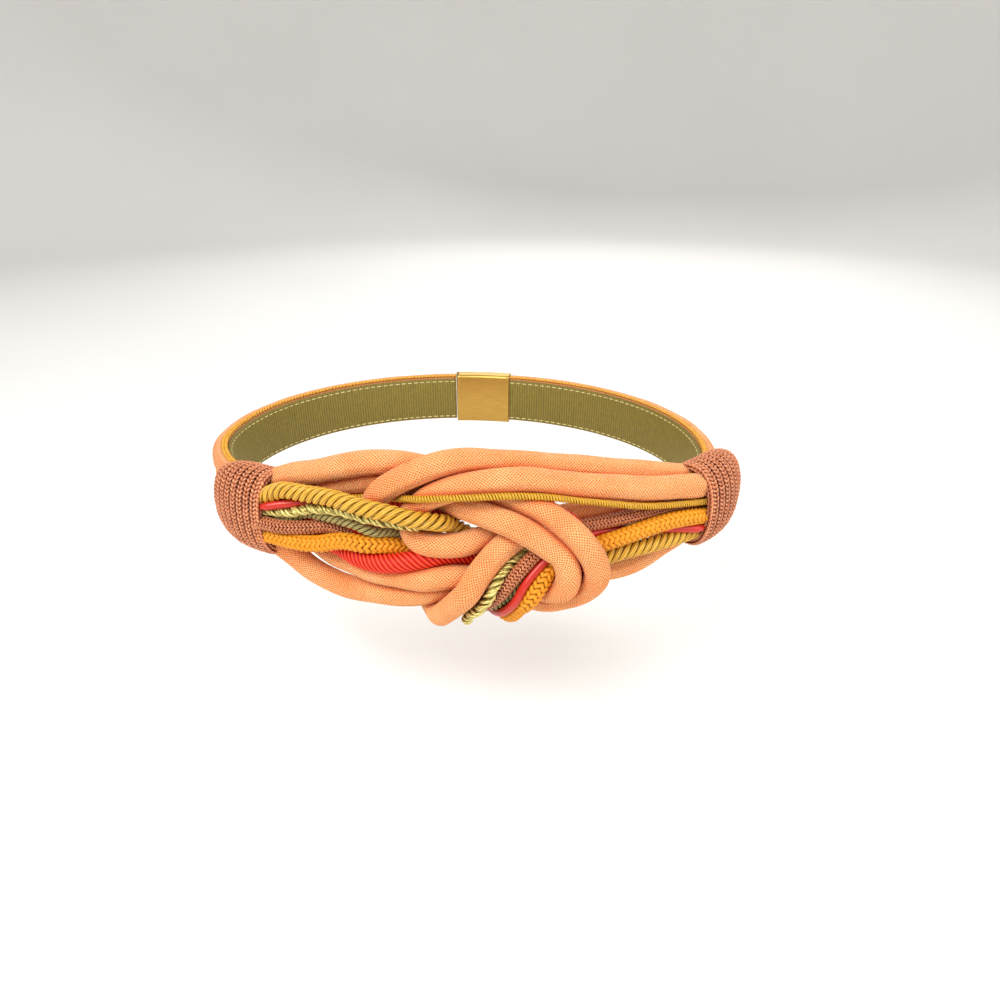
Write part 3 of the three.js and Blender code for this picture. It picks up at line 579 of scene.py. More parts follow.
# one short bowed length of yarn on every point, lying along its heading and bulging outward
def stitchTree():
    tree, add, given = startGeometryTree("yarn on points", {
        "Length": "Float", "Width": "Float", "Rise": "Float", "Taper": "Float",
        "Steps": "Int", "Sides": "Int", "Least size": "Float", "Most size": "Float",
        "Seed": "Int", "Material": "Material",
    })
    half = add("Math", given["Length"], 0.5, operation="MULTIPLY")
    halfWidth = add("Math", given["Width"], 0.5, operation="MULTIPLY")
    dip = add("Math", given["Rise"], -1, operation="MULTIPLY")
    start, end = (
        add("CombineXYZ", {"X": add("Math", half, turn, operation="MULTIPLY"), "Z": dip}) for turn in (-1, 1)
    )
    bow = add("CurveQuadraticBezier", {
        "Resolution": given["Steps"], "Start": start, "Middle": add("CombineXYZ", {"Z": given["Rise"]}),
        "End": end,
    })
    spline = add("SplineParameter").node.outputs
    swell = add("Math", add("Math", spline["Factor"], math.pi, operation="MULTIPLY"), operation="SINE")
    swelling = add("Math", 1, given["Taper"], operation="SUBTRACT")
    thickness = add("Math", swell, swelling, given["Taper"], operation="MULTIPLY_ADD")
    bow = add("StoreNamedAttribute", {"Geometry": bow, "Name": "along", "Value": spline["Length"]},
              data_type="FLOAT", domain="POINT")
    section = add("CurvePrimitiveCircle", {"Resolution": given["Sides"], "Radius": halfWidth})
    around = add("SplineParameter").node.outputs["Factor"]
    section = add("StoreNamedAttribute", {"Geometry": section, "Name": "around", "Value": around},
                  data_type="FLOAT", domain="POINT")
    yarn = add("CurveToMesh", {
        "Curve": bow, "Profile Curve": section, "Scale": thickness, "Fill Caps": True,
    })
    # the height out of the stitch, which the yarn's material turns into painted shade at its ends and flanks
    lift = add("SeparateXYZ", add("InputPosition")).node.outputs["Z"]
    height = add("Math",
                 add("Math", lift, given["Rise"], operation="ADD"),
                 add("Math", given["Rise"], halfWidth, operation="ADD"), operation="DIVIDE")
    yarn = add("StoreNamedAttribute", {"Geometry": yarn, "Name": "height", "Value": height},
               data_type="FLOAT", domain="POINT")
    tone = add("RandomValue", {"Seed": given["Seed"]}, data_type="FLOAT")
    points = add("StoreNamedAttribute", {"Geometry": given["Geometry"], "Name": "tone", "Value": tone},
                 data_type="FLOAT", domain="POINT")
    outward, heading = (
        add("InputNamedAttribute", {"Name": label}, data_type="FLOAT_VECTOR")
        for label in ("outward", "heading")
    )
    turned = add("AxesToRotation", {"Primary Axis": outward, "Secondary Axis": heading},
                 primary_axis="Z", secondary_axis="X")
    size = add("RandomValue", {
        0: given["Least size"], 1: given["Most size"],
        "Seed": add("Math", given["Seed"], 1, operation="ADD"),
    }, data_type="FLOAT")
    placed = add("InstanceOnPoints", {
        "Points": points, "Instance": yarn, "Rotation": turned, "Scale": size,
    })
    endGeometryTree(add, placed, given["Material"])
    return tree


# runs a geometry tree on an object and keeps the result as a plain mesh
def runTree(source, tree, values):
    modifier = source.modifiers.new("nodes", "NODES")
    modifier.node_group = tree
    sockets = {item.name: item.identifier for item in tree.interface.items_tree if item.in_out == "INPUT"}
    for name, value in values.items():
        modifier[sockets[name]] = value
    evaluated = source.evaluated_get(bpy.context.evaluated_depsgraph_get())
    mesh = bpy.data.meshes.new_from_object(evaluated)
    name = source.name
    source.modifiers.clear()
    bpy.data.objects.remove(source)
    return linkObject(name, mesh)


# a chain of points for a rope's nodes to wind yarn round
def lineObject(name, line):
    data = bpy.data.curves.new(name, "CURVE")
    data.dimensions = "3D"
    spline = data.splines.new("POLY")
    spline.points.add(len(line) - 1)
    for point, here in zip(spline.points, line):
        point.co = (*here["point"], 1)
    return linkObject(name, data)


# loose points, each with the direction that its stitch bulges in and the one that it lies along
def stitchPoints(name, stitches):
    mesh = bpy.data.meshes.new(name)
    mesh.from_pydata([place for place, outward, heading in stitches], [], [])
    for label, which in (("outward", 1), ("heading", 2)):
        attribute = mesh.attributes.new(label, "FLOAT_VECTOR", "POINT")
        attribute.data.foreach_set("vector", [number for stitch in stitches for number in stitch[which]])
    return linkObject(name, mesh)


def joinPieces(name, pieces):
    with bpy.context.temp_override(active_object=pieces[0], selected_editable_objects=pieces):
        bpy.ops.object.join()
    pieces[0].name = name
    return pieces[0]


# a finished piece stands for its node, rides with the belt and takes the record's finish
def seat(piece, node, slot):
    piece.name = node + "_" + slot.rsplit("_", 1)[-1]
    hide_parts(node)
    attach(piece, "root")


layRope = ropeTree()
layStitches = stitchTree()
random.seed(7)

# linen covered cords, soft and a little uneven, creased where they turn
linenCord = {
    "radius": 0.0054,
    "step": 0.0009,
    "sides": 36,
    "lumps": 0.00025,
    "lump scale": 55,
    "lengthwise folds": 0.0007,
    "fold scale": 16,
    "fold limit": 0.25,
    "crease depth": 0.00045,
    "crease spacing": 0.0035,
    "least bend creased": 30,
    "full bend creased": 100,
    "fibres": 1300,
    "fibre": {
        "Length": 0.003, "Width": 0.00013, "Rise": 0.0008, "Taper": 0.4, "Steps": 3, "Sides": 3,
        "Least size": 0.35, "Most size": 1.1,
    },
}
peachLinen = {
    "thread": "#fcb878",
    "warm": "#f69a58",
    "pale": "#ffd096",
    "pit": "#b04410",
    "crowdShade": "#e0602a",
    "sheen": "#ffc89c",
    "thread pitch": 0.00096,
    "waver": 0.7,
    "waver scale": 420,
    "pit spread": 1.15,
    "pit strength": 0.95,
    "slub scale": 900,
    "dye scale": 60,
    "dye contrast": 2.4,
}
linen = linenCloth("bias cut linen", peachLinen)
looseFibre = twistedYarn("loose linen fibre", {
    "light": "#ffd9bd", "dark": "#f5b48c", "roughness": 0.9, "threads": 1, "thread lay": 0.01, "fleck": 0,
})


def evenGirth(radius, pitch):
    threads = 2 * round(2 * math.pi * radius / (pitch * math.sqrt(2)) / 2)
    return threads * pitch * math.sqrt(2)


# the lines of all the cords, to find where a linen cord is crowded by its neighbours and gets painted shade
radii = {
    "ringCordOuter": 0.0054, "ringCordInner": 0.0054, "twillCord": 0.0044, "bandCordBack": 0.0054,
    "bandCordFront": 0.0054, "gimpCord": 0.0016, "goldRope": 0.0039, "satinCord": 0.0019,
    "metallicRope": 0.0025, "oliveRope": 0.0022, "copperKnitCord": 0.0032, "orangeKnitCord": 0.004,
}
crowding = {"reach": 0.003, "line step": 0.0015, "falloff": 1.5}
nearby = [(here["point"], route) for route in routes for here in cordLine(route, crowding["line step"])]
nearbyTree = kdtree.KDTree(len(nearby))
for index, (point, route) in enumerate(nearby):
    nearbyTree.insert(point, index)
nearbyTree.balance()


# painted shade: the cloth is deeper and redder in colour where another cord lies close against it
def markCrowdShade(cord, ownRoute):
    attribute = cord.data.attributes.new("crowdShade", "FLOAT", "POINT")
    reach = crowding["reach"]
    widest = max(radii.values()) + reach
    for vertex in cord.data.vertices:
        closest = reach
        for point, index, distance in nearbyTree.find_range(vertex.co, widest):
            route = nearby[index][1]
            if route != ownRoute:
                closest = min(closest, distance - radii[route])
        share = min(1.0, 1 - max(closest, 0) / reach)
        attribute.data[vertex.index].value = share ** crowding["falloff"]


def makeLinenCord(node, route, seed):
    line = cordLine(route, linenCord["step"])

    def radiusAt(here, angle, out):
        across, over = math.cos(angle), math.sin(angle)
        spot = Vector((here["along"] * linenCord["lump scale"], across * 0.9 + seed, over * 0.9))
        lengthwise = Vector((here["along"] * linenCord["fold scale"], across * 2.4 - seed, over * 2.4))
        radius = linenCord["radius"] + linenCord["lumps"] * noise.noise(spot)
        radius += linenCord["lengthwise folds"] * min(linenCord["fold limit"], noise.noise(lengthwise))
        least, full = linenCord["least bend creased"], linenCord["full bend creased"]
        bend = here["bend"].length
        if bend > least:
            inner = max(0.0, out.dot(here["bend"].normalized()))
            strength = min(1.0, (bend - least) / (full - least))
            fold = 0.5 + 0.5 * math.sin(
                2 * math.pi * here["along"] / linenCord["crease spacing"] + 5 * noise.noise(spot * 0.7)
            )
            radius -= linenCord["crease depth"] * strength * inner * inner * fold
        return radius

    girth = evenGirth(linenCord["radius"], peachLinen["thread pitch"])
    cord = skinCord(node, line, linenCord["sides"], girth, radiusAt)
    markCrowdShade(cord, route)
    cord.data.materials.append(linen)
    fibres = []
    for _ in range(linenCord["fibres"]):
        here = random.choice(line)
        angle = random.uniform(0, 2 * math.pi)
        out = outOf(here, angle)
        sideways = here["heading"] * random.uniform(-1, 1)
        sideways = sideways + out.cross(here["heading"]) * random.uniform(-1, 1)
        outward = (out + sideways * 0.4).normalized()
        fibres.append((here["point"] + out * linenCord["radius"], outward, sideways))
    fuzz = runTree(stitchPoints(node + "_fuzz", fibres), layStitches,
                   {**linenCord["fibre"], "Seed": seed, "Material": looseFibre})
    seat(joinPieces(node, [cord, fuzz]), node, "linen_cord")


for seed, (node, route) in enumerate({
    "ring_cord_outer": "ringCordOuter",
    "ring_cord_inner": "ringCordInner",
    "band_cord_back": "bandCordBack",
    "band_cord_front": "bandCordFront",
}.items()):
    makeLinenCord(node, route, seed)
print("linen cords made")

# red twill cord: slanting ribs stand out of it
twill = {
    "radius": 0.0044,
    "step": 0.0006,
    "sides": 84,
    "ribs": 8,
    "rib lay": 0.0176,
    "rib height": 0.0007,
    # colours of the painted shade in the grooves and the painted highlight on the crests
    "groove": "#a80600",
    "crest": "#ff4c2e",
}


# Dyed cotton twill, red: a painted highlight of bright red on the rib crests and a painted deep red shade
# between the ribs
def redTwill():
    material, add, shader = startMaterial("red cotton twill", {
        "Roughness": 0.55, "Specular IOR Level": 0.2,
        "Sheen Weight": 0.1, "Sheen Roughness": 0.35, "Sheen Tint": colour("#ff8a6a"),
    })
    split = add("SeparateXYZ", add("UVMap", uv_map="cloth")).node.outputs
    around = add("Math", split[1], twill["ribs"], operation="MULTIPLY")
    along = add("Math", split[0], twill["rib lay"] / twill["ribs"], operation="DIVIDE")
    angle = add("Math", add("Math", around, along, operation="SUBTRACT"), math.pi, operation="MULTIPLY")
    crest = add("Math", add("Math", angle, operation="COSINE"), operation="ABSOLUTE")
    fine = add("Math", add("Math", angle, 3, operation="MULTIPLY"), operation="SINE")
    share = add("Math", crest, 3, operation="POWER")
    base = add("Mix", share, colour(twill["groove"]), colour(twill["crest"]), data_type="RGBA")
    threads = add("Math", fine, operation="ABSOLUTE")
    finishMaterial(shader, base, add("Bump", {"Strength": 0.25, "Distance": 0.0001, "Height": threads}))
    return material


def makeTwillCord():
    line = cordLine("twillCord", twill["step"])

    def radiusAt(here, angle, out):
        turns = angle / (2 * math.pi) * twill["ribs"] - here["along"] / (twill["rib lay"] / twill["ribs"])
        crest = abs(math.cos(math.pi * turns))
        return twill["radius"] - twill["rib height"] * (1 - crest ** 0.7)

    cord = skinCord("twill_cord", line, twill["sides"], 1, radiusAt)
    cord.data.materials.append(redTwill())
    seat(cord, "twill_cord", "red_twill")


makeTwillCord()
print("twill cord made")

# smooth red satin cord, squeezed and tucked under the yarn where it goes into the cuffs
satin = {
    "radius": 0.0019,
    "step": 0.0009,
    "sides": 16,
    "unevenness": 0.03,
    "squeeze": 0.5,
    "tuck": 0.0016,
    "squeeze length": 0.007,
    "floats round": 14,
    "float pitch": 0.0006,
    # colours of the painted sheen lines
    "dark": "#9c1006",
    "light": "#d02a14",
}


# Satin rattail: smooth floats lying round it give a clear highlight, with faint slanting lines of painted
# sheen along the floats
def redSatin():
    material, add, shader = startMaterial("red satin", {
        "Roughness": 0.34, "Specular IOR Level": 0.5,
        "Sheen Weight": 0.2, "Sheen Roughness": 0.35, "Sheen Tint": colour("#ff7c5c"),
    })
    split = add("SeparateXYZ", add("UVMap", uv_map="cloth")).node.outputs
    along = add("Math", split[0], satin["float pitch"], operation="DIVIDE")
    turns = add("Math", split[1], satin["floats round"], along, operation="MULTIPLY_ADD")
    floats = add("Math", add("Math", turns, 2 * math.pi, operation="MULTIPLY"), operation="SINE")
    share = add("Math", floats, 0.2, 0.5, operation="MULTIPLY_ADD")
    base = add("Mix", share, colour(satin["dark"]), colour(satin["light"]), data_type="RGBA")
    finishMaterial(shader, base, add("Bump", {"Strength": 0.15, "Distance": 0.00005, "Height": floats}))
    return material


def makeSatinCord():
    line = cordLine("satinCord", satin["step"])[1:-1]
    length = line[-1]["along"]
    for here in line:
        free = min(1, min(here["along"], length - here["along"]) / satin["squeeze length"])
        inwards = -Vector((here["point"].x, here["point"].y, 0)).normalized()
        here["point"] = here["point"] + inwards * satin["tuck"] * (1 - free)

    def radiusAt(here, angle, out):
        fromEnd = min(here["along"], length - here["along"])
        squeezed = satin["squeeze"] + (1 - satin["squeeze"]) * min(1, fromEnd / satin["squeeze length"])
        return satin["radius"] * squeezed * (1 + satin["unevenness"] * noise.noise(here["point"] * 90))

    cord = skinCord("satin_cord", line, satin["sides"], 1, radiusAt)
    cord.data.materials.append(redSatin())
    seat(cord, "satin_cord", "red_satin")


makeSatinCord()
print("satin cord made")

# laid ropes, their yarns darkened with painted shade in the grooves; a negative lay leans the other way
ropes = {
    "gold_rope": {
        "route": "goldRope", "slot": "gold_thread", "step": 0.0009,
        "Strands": 4, "Strand offset": 0.00247, "Lay": -0.0144,
        "Yarns": 1, "Yarn offset": 0.0, "Yarn lay": 0.05, "Yarn radius": 0.0014, "Sides": 30,
        "Threads": 7, "Thread depth": 0.12,
        "yarn": {"light": "#ecbc48", "dark": "#a26c0c", "shadow": "#4a2800", "groove": 0.7, "crest": 0.96,
                 "roughness": 0.36, "threads": 7, "thread lay": 9,
                 "fleck": 0.5, "fleck scale": 420, "sheen": 0.3, "tone": 0.12},
    },
    "metallic_rope": {
        "route": "metallicRope", "slot": "metallic_thread", "step": 0.0005,
        "Strands": 3, "Strand offset": 0.0013, "Lay": 0.0084,
        "Yarns": 2, "Yarn offset": 0.0005, "Yarn lay": 0.04, "Yarn radius": 0.00076, "Sides": 10,
        "Threads": 4, "Thread depth": 0.1,
        "yarn": {"light": "#fbec96", "dark": "#a08c40", "shadow": "#6a5616", "groove": 0.55, "crest": 0.92,
                 "roughness": 0.26, "metallic": 0.45, "threads": 4,
                 "thread lay": 0.003, "fleck": 1.1, "fleck scale": 600, "tone": 0.2},
    },
    "olive_rope": {
        "route": "oliveRope", "slot": "olive_thread", "step": 0.0005,
        "Strands": 3, "Strand offset": 0.00122, "Lay": -0.0078,
        "Yarns": 1, "Yarn offset": 0.0, "Yarn lay": 0.02, "Yarn radius": 0.00098, "Sides": 18,
        "Threads": 6, "Thread depth": 0.1,
        "yarn": {"light": "#b4a468", "dark": "#746632", "shadow": "#2a2006", "groove": 0.65, "crest": 0.95,
                 "roughness": 0.4, "threads": 6, "thread lay": 9,
                 "fleck": 0.6, "fleck scale": 700, "tone": 0.15},
    },
    "gimp_cord": {
        "route": "gimpCord", "slot": "gold_gimp", "step": 0.0003,
        "Strands": 2, "Strand offset": 0.00096, "Lay": 0.0026,
        "Yarns": 1, "Yarn offset": 0.0, "Yarn lay": 0.008, "Yarn radius": 0.00062, "Sides": 12,
        "Threads": 4, "Thread depth": 0.1,
        "yarn": {"light": "#eab638", "dark": "#a87414", "shadow": "#3a2000", "groove": 0.72, "crest": 0.98,
                 "roughness": 0.38, "threads": 4, "thread lay": 9,
                 "fleck": 0.5, "fleck scale": 900, "tone": 0.1},
    },
}


def makeRope(node, rope):
    material = twistedYarn(node.replace("_", " ") + " yarn", rope["yarn"])
    values = {name: value for name, value in rope.items() if name[0].isupper()}
    line = lineObject(node, cordLine(rope["route"], rope["step"]))
    piece = runTree(line, layRope, {**values, "Material": material})
    seat(piece, node, rope["slot"])


for node, rope in ropes.items():
    makeRope(node, rope)
print("ropes made")

# copper yarn of the cuffs and the thin knitted cord, darkened with painted shade at the ends and flanks of
# its stitches
copperYarn = twistedYarn("copper yarn", {
    "light": "#f6a472", "dark": "#96421e", "shadow": "#561602", "groove": 0.3, "crest": 0.98,
    "roughness": 0.4, "threads": 3, "thread lay": 0.0016, "fleck": 0.9, "sheen": 0.08,
})
# dark gap cloth for the copper cords, painted shade between the stitches
copperGap = gapShade("copper yarn shadow", {"light": "#4a1608", "dark": "#2a0a02"})
# orange yarn, darkened with painted shade at the ends of its stitches
orangeYarn = twistedYarn("orange yarn", {
    "light": "#e8981e", "dark": "#cc8010", "shadow": "#965a04", "groove": 0.0, "crest": 0.7,
    "roughness": 0.55, "threads": 3, "thread lay": 0.002, "fleck": 0.5, "sheen": 0.2,
})
# gap cloth for the orange cord, painted shade between the stitches
orangeGap = gapShade("orange yarn shadow", {"light": "#a4640a", "dark": "#804a04"})

# knitted cords: columns of V stitches round a core
knitCords = {
    "copper_knit_cord": {
        "route": "copperKnitCord", "slot": "copper_knit", "radius": 0.0032, "columns": 7, "pitch": 0.0016,
        "slant": 38, "leg": 0.22, "yarn": copperYarn, "gap": copperGap,
        "Length": 0.0027, "Width": 0.00116, "Rise": 0.0005, "Steps": 4, "Sides": 5,
    },
    "orange_knit_cord": {
        "route": "orangeKnitCord", "slot": "orange_knit", "radius": 0.004, "columns": 5, "pitch": 0.0024,
        "slant": 44, "leg": 0.25, "yarn": orangeYarn, "gap": orangeGap,
        "Length": 0.0044, "Width": 0.002, "Rise": 0.0006, "Steps": 5, "Sides": 7,
    },
}
knitCore = {"step": 0.002, "sides": 14, "sunk widths": 0.9}


def makeKnitCord(node, knit):
    line = cordLine(knit["route"], knit["pitch"])
    depth = knit["Width"] * 0.5
    slant = math.radians(knit["slant"])
    stitches = []
    for here in line:
        for column in range(knit["columns"]):
            for leg in (-1, 1):
                angle = 2 * math.pi * (column + leg * knit["leg"]) / knit["columns"]
                out = outOf(here, angle)
                across = here["heading"].cross(out)
                heading = here["heading"] * math.cos(slant) + across * leg * math.sin(slant)
                stitches.append((here["point"] + out * (knit["radius"] - depth), out, heading))
    values = {name: value for name, value in knit.items() if name[0].isupper()}
    yarn = runTree(stitchPoints(node, stitches), layStitches, {
        **values, "Taper": 0.55, "Least size": 0.95, "Most size": 1.05, "Seed": 3, "Material": knit["yarn"],
    })
    # the sunk core carries the gap cloth, painted shade seen between the stitches
    coreLine = cordLine(knit["route"], knitCore["step"])
    core = skinCord(node + "_core", coreLine, knitCore["sides"], 1,
                    lambda here, angle, out: knit["radius"] - knit["Width"] * knitCore["sunk widths"])
    core.data.materials.append(knit["gap"])
    seat(joinPieces(node, [yarn, core]), node, knit["slot"])


for node, knit in knitCords.items():
    makeKnitCord(node, knit)
print("knitted cords made")

# cuffs: a barrel of knitted rows that run round the gathered ends, its mouth turned in
cuff = {
    "length": 0.033,
    "mouth": {"height": 0.0435, "thickness": 0.0284, "up": 0.009, "out": 0.0144},
    "back": {"height": 0.039, "thickness": 0.022, "up": 0.005, "out": 0.0114},
    "squareness": 2.3,
    "profile": [
        (0, 0.93), (0.04, 0.985), (0.2, 1.01), (0.4, 1.04), (0.6, 1.05), (0.8, 1.02), (0.96, 0.95), (1, 0.88),
    ],
    "fine steps": 360,
    "rows": 8,
    "pitch": 0.0019,
    "slant": 42,
    "leg": 0.21,
    "yarn sink": 0.0009,
    "core sink": 0.0009,
    "core lip sink": 0.0036,
    "core end sink": 0.006,
    "core steps": 24,
    "core sides": 72,
    "mouth depth": 0.005,
    "rim rows": [(0.0, 0.0006), (0.0, 0.0022), (0.985, 0.0012)],
    "stitch": {
        "Length": 0.0033, "Width": 0.0015, "Rise": 0.0008, "Taper": 0.5, "Steps": 6, "Sides": 7,
        "Least size": 0.88, "Most size": 1.1,
    },
}
cuffs = {
    "cuff_left": {"mouth at": -0.07, "inward": -1},
    "cuff_right": {"mouth at": 0.11, "inward": 1},
}


def profileShare(place):
    table = cuff["profile"]
    for (a, low), (b, high) in zip(table, table[1:]):
        if place <= b:
            t = (place - a) / (b - a)
            return low + (high - low) * t
    return table[-1][1]


# a place on a cuff's skin, sunk below it by some depth
def onCuff(side, place, angle, sink):
    share = profileShare(place)
    mouth, back = cuff["mouth"], cuff["back"]
    section = {name: mouth[name] + (back[name] - mouth[name]) * place for name in mouth}

    def bend(value):
        return math.copysign(abs(value) ** (2 / cuff["squareness"]), value)

    along = side["mouth at"] + side["inward"] * cuff["length"] * place
    up = section["up"] + (section["height"] / 2 * share - sink) * bend(math.sin(angle))
    out = section["out"] + (section["thickness"] / 2 * share - sink) * bend(math.cos(angle))
    return onBelt(along, up, out)


# even places round a cuff, each with its outward and round-the-cuff directions
def roundCuff(side, place, sink):
    fine = cuff["fine steps"]
    lengths = lengthsAlong([onCuff(side, place, 2 * math.pi * i / fine, sink) for i in range(fine + 1)])
    count = round(lengths[-1] / cuff["pitch"])
    found, k = [], 0
    for i in range(count):
        target = lengths[-1] * i / count
        while lengths[k + 1] < target:
            k += 1
        t = (target - lengths[k]) / (lengths[k + 1] - lengths[k])
        angle = 2 * math.pi * (k + t) / fine
        spot = onCuff(side, place, angle, sink)
        heading = (onCuff(side, place, angle + 0.02, sink) - spot).normalized()
        lengthwise = (onCuff(side, place + 0.02, angle, sink) - spot).normalized()
        outward = heading.cross(lengthwise).normalized() * side["inward"]
        if outward.dot(onCuff(side, place, angle, 0) - onCuff(side, place, angle, 0.004)) < 0:
            outward = -outward
        found.append((spot, outward, heading, lengthwise))
    return found


def makeCuff(node, side):
    slant = math.radians(cuff["slant"])
    rowWidth = 1 / cuff["rows"]
    stitches = []
    for row in range(cuff["rows"]):
        for leg in (-1, 1):
            place = (row + 0.5 + leg * cuff["leg"]) * rowWidth
            for spot, outward, heading, lengthwise in roundCuff(side, place, cuff["yarn sink"]):
                turned = heading * math.cos(slant) + lengthwise * leg * math.sin(slant)
                stitches.append((spot, outward, turned))
    for place, sink in cuff["rim rows"]:
        for spot, outward, heading, lengthwise in roundCuff(side, place, sink):
            stitches.append((spot, outward, heading * 0.9 + lengthwise * 0.4))
    yarn = runTree(stitchPoints(node, stitches), layStitches, {
        **cuff["stitch"], "Seed": 11, "Material": copperYarn,
    })
    # the sunk core inside the cuff carries the dark gap cloth, painted shade seen between the stitches
    sides = cuff["core sides"]
    sink = cuff["yarn sink"] + cuff["core sink"]
    steps, end = cuff["core steps"], cuff["core end sink"]
    levels = [(cuff["mouth depth"] / cuff["length"], end), (0.02, cuff["core lip sink"])]
    levels += [(0.02 + 0.96 * i / steps, sink) for i in range(steps + 1)] + [(0.985, end)]
    rings = [
        [onCuff(side, place, 2 * math.pi * i / sides, depth) for i in range(sides)] for place, depth in levels
    ]
    if side["inward"] > 0:
        rings = [list(reversed(ring)) for ring in rings]
    core = skinRings(node + "_core", rings, [place * cuff["length"] for place, depth in levels], 0.12)
    core.data.materials.append(copperGap)
    seat(joinPieces(node, [yarn, core]), node, "copper_knit")


for node, side in cuffs.items():
    makeCuff(node, side)
print("cuffs made")

# strap: three soft corded tubes side by side under one linen cover, lined inside and edged with gold braid
strap = {
    "height": 0.03,
    "thickness": 0.008,
    "up": 0.001,
    "tubes": 3,
    "groove share": 0.36,
    "corner": 0.0015,
    "corner rise": 0.0012,
    "edge inset": 0.0003,
    "lining thickness": 0.0014,
    "gap": 0.0003,
    "lining edge": 0.0015,
    "lining bevel": (0.0006, 0.0003),
    "lining step": 0.002,
    # lining colours, the olive gold darkened with painted shade
    "lining dark": "#33290a",
    "lining light": "#86741c",
    "points per tube": 14,
    "step": 0.0015,
    "softness": 0.0005,
    "into cuff": 0.002,
    "rib pitch": 0.0016,
    "braid pitch": 0.0022,
    "braid sink": 0.0002,
    "braid out": 0.0014,
    "braid half width": 0.0006,
    "braid stitch": {
        "Length": 0.0034, "Width": 0.0014, "Rise": 0.0003, "Taper": 0.5, "Steps": 4, "Sides": 6,
        "Least size": 0.95, "Most size": 1.05,
    },
    "sewing pitch": 0.004,
    "sewing inset": 0.0016,
    "sewing lift": 0.0001,
    "sewing stitch": {
        "Length": 0.0028, "Width": 0.0006, "Rise": 0.0002, "Taper": 0.6, "Steps": 4, "Sides": 5,
        "Least size": 0.95, "Most size": 1.05,
    },
}
clasp = {
    "length": 0.034,
    "height": 0.032,
    "thickness": 0.009,
    "corner": 0.002,
    "end gap": 0.0005,
    "step": 0.002,
    "grain dark": "#9a7430",
    "grain light": "#dcb560",
}
claspHalf = clasp["length"] / 2 + clasp["end gap"]
halves = {
    "left": (-halfWaist + claspHalf, cuffs["cuff_left"]["mouth at"] - cuff["length"] + strap["into cuff"]),
    "right": (cuffs["cuff_right"]["mouth at"] + cuff["length"] - strap["into cuff"], halfWaist - claspHalf),
}


# a band of one closed outline (up, out) along the waist
def skinBand(name, start, end, outline, step, shift=None):
    count = round((end - start) / step)
    rings, alongs = [], []
    for i in range(count + 1):
        along = start + (end - start) * i / count
        ring = []
        for up, out in outline:
            extra = shift(along, up, out) if shift else 0
            ring.append(onBelt(along, strap["up"] + up, out + extra))
        rings.append(ring)
        alongs.append(along)
    girth = sum(math.dist(a, b) for a, b in zip(outline, outline[1:] + outline[:1]))
    return skinRings(name, rings, alongs, girth)


def strapOutline():
    inner = strap["lining thickness"] + strap["gap"]
    half = strap["height"] / 2
    tube = strap["height"] / strap["tubes"]
    groove = strap["thickness"] * strap["groove share"]
    valley = inner + strap["thickness"] - groove
    corner, edge, rise = strap["corner"], strap["edge inset"], strap["corner rise"]
    outline = [(-half + corner, inner), (-half / 3, inner), (half / 3, inner), (half - corner, inner),
               (half - edge, inner + rise)]
    for t in reversed(range(strap["tubes"])):
        for i in range(strap["points per tube"]):
            share = (i + 0.5) / strap["points per tube"]
            up = -half + (t + 1 - share) * tube
            outline.append((up, valley + groove * math.sin(math.pi * share) ** 0.6))
    outline.append((-half + edge, inner + rise))
    return outline


# Sewn lining: olive gold ribs, lighter on their crests with a painted highlight, the olive gold deepened with
# painted shade
def oliveLining():
    material, add, shader = startMaterial("olive gold ribbed lining", {
        "Roughness": 0.6, "Sheen Weight": 0.2, "Sheen Roughness": 0.4, "Sheen Tint": colour("#c8b050"),
    })
    split = add("SeparateXYZ", add("UVMap", uv_map="cloth")).node.outputs
    ribs = add("Math", split[0], math.pi / strap["rib pitch"], operation="MULTIPLY")
    ribs = add("Math", add("Math", ribs, operation="SINE"), operation="ABSOLUTE")
    place = add("TexCoord").node.outputs["Object"]
    mottle = add("TexNoise", {"Vector": place, "Scale": 500, "Detail": 3})
    share = add("Math", add("Math", ribs, mottle, operation="ADD"), 0.55, operation="MULTIPLY")
    dark, light = colour(strap["lining dark"]), colour(strap["lining light"])
    base = add("Mix", share, dark, light, data_type="RGBA")
    finishMaterial(shader, base, add("Bump", {"Strength": 0.6, "Distance": 0.0003, "Height": ribs}))
    return material


strapLinen = linenCloth("strap linen", {**peachLinen, "thread": "#f4b07a", "warm": "#ea945c"})
lining = oliveLining()
edgeYarn = twistedYarn("edge braid yarn", {
    "light": "#f0b03a", "dark": "#a06a12", "roughness": 0.45, "threads": 2, "thread lay": 0.002, "fleck": 0.4,
})
creamThread = twistedYarn("cream sewing thread", {
    "light": "#efe2a8", "dark": "#b8a560", "roughness": 0.5, "threads": 2, "thread lay": 0.001, "fleck": 0.2,
})


def makeStrapHalf(side, start, end):
    def soften(along, up, out):
        if out < 0.004:
            return 0
        return strap["softness"] * noise.noise(Vector((along * 60, up * 90, 3)))

    band = skinBand(f"strap_{side}", start, end, strapOutline(), strap["step"], soften)
    band.data.materials.append(strapLinen)
    inner = strap["lining thickness"] + strap["gap"]
    top = strap["up"] + strap["height"] / 2 - strap["braid sink"]
    outwards = inner + strap["braid out"]
    braid = []
    count = round((end - start) / strap["braid pitch"])
    for i in range(count):
        along = start + (end - start) * (i + 0.5) / count
        spot = onBelt(along, top, outwards)
        ahead = onBelt(along + 0.001, top, outwards) - spot
        across = ahead.cross(Vector((0, 0, 1))).normalized()
        for leg in (-1, 1):
            braid.append((spot + across * leg * strap["braid half width"], Vector((0, 0, 1)),
                          ahead.normalized() * 0.8 + across * leg * 0.6))
    edge = runTree(stitchPoints(f"strap_{side}_edge", braid), layStitches,
                   {**strap["braid stitch"], "Seed": 5, "Material": edgeYarn})
    piece = joinPieces(f"strap_{side}", [band, edge])
    seat(piece, f"strap_{side}", "strap_linen")


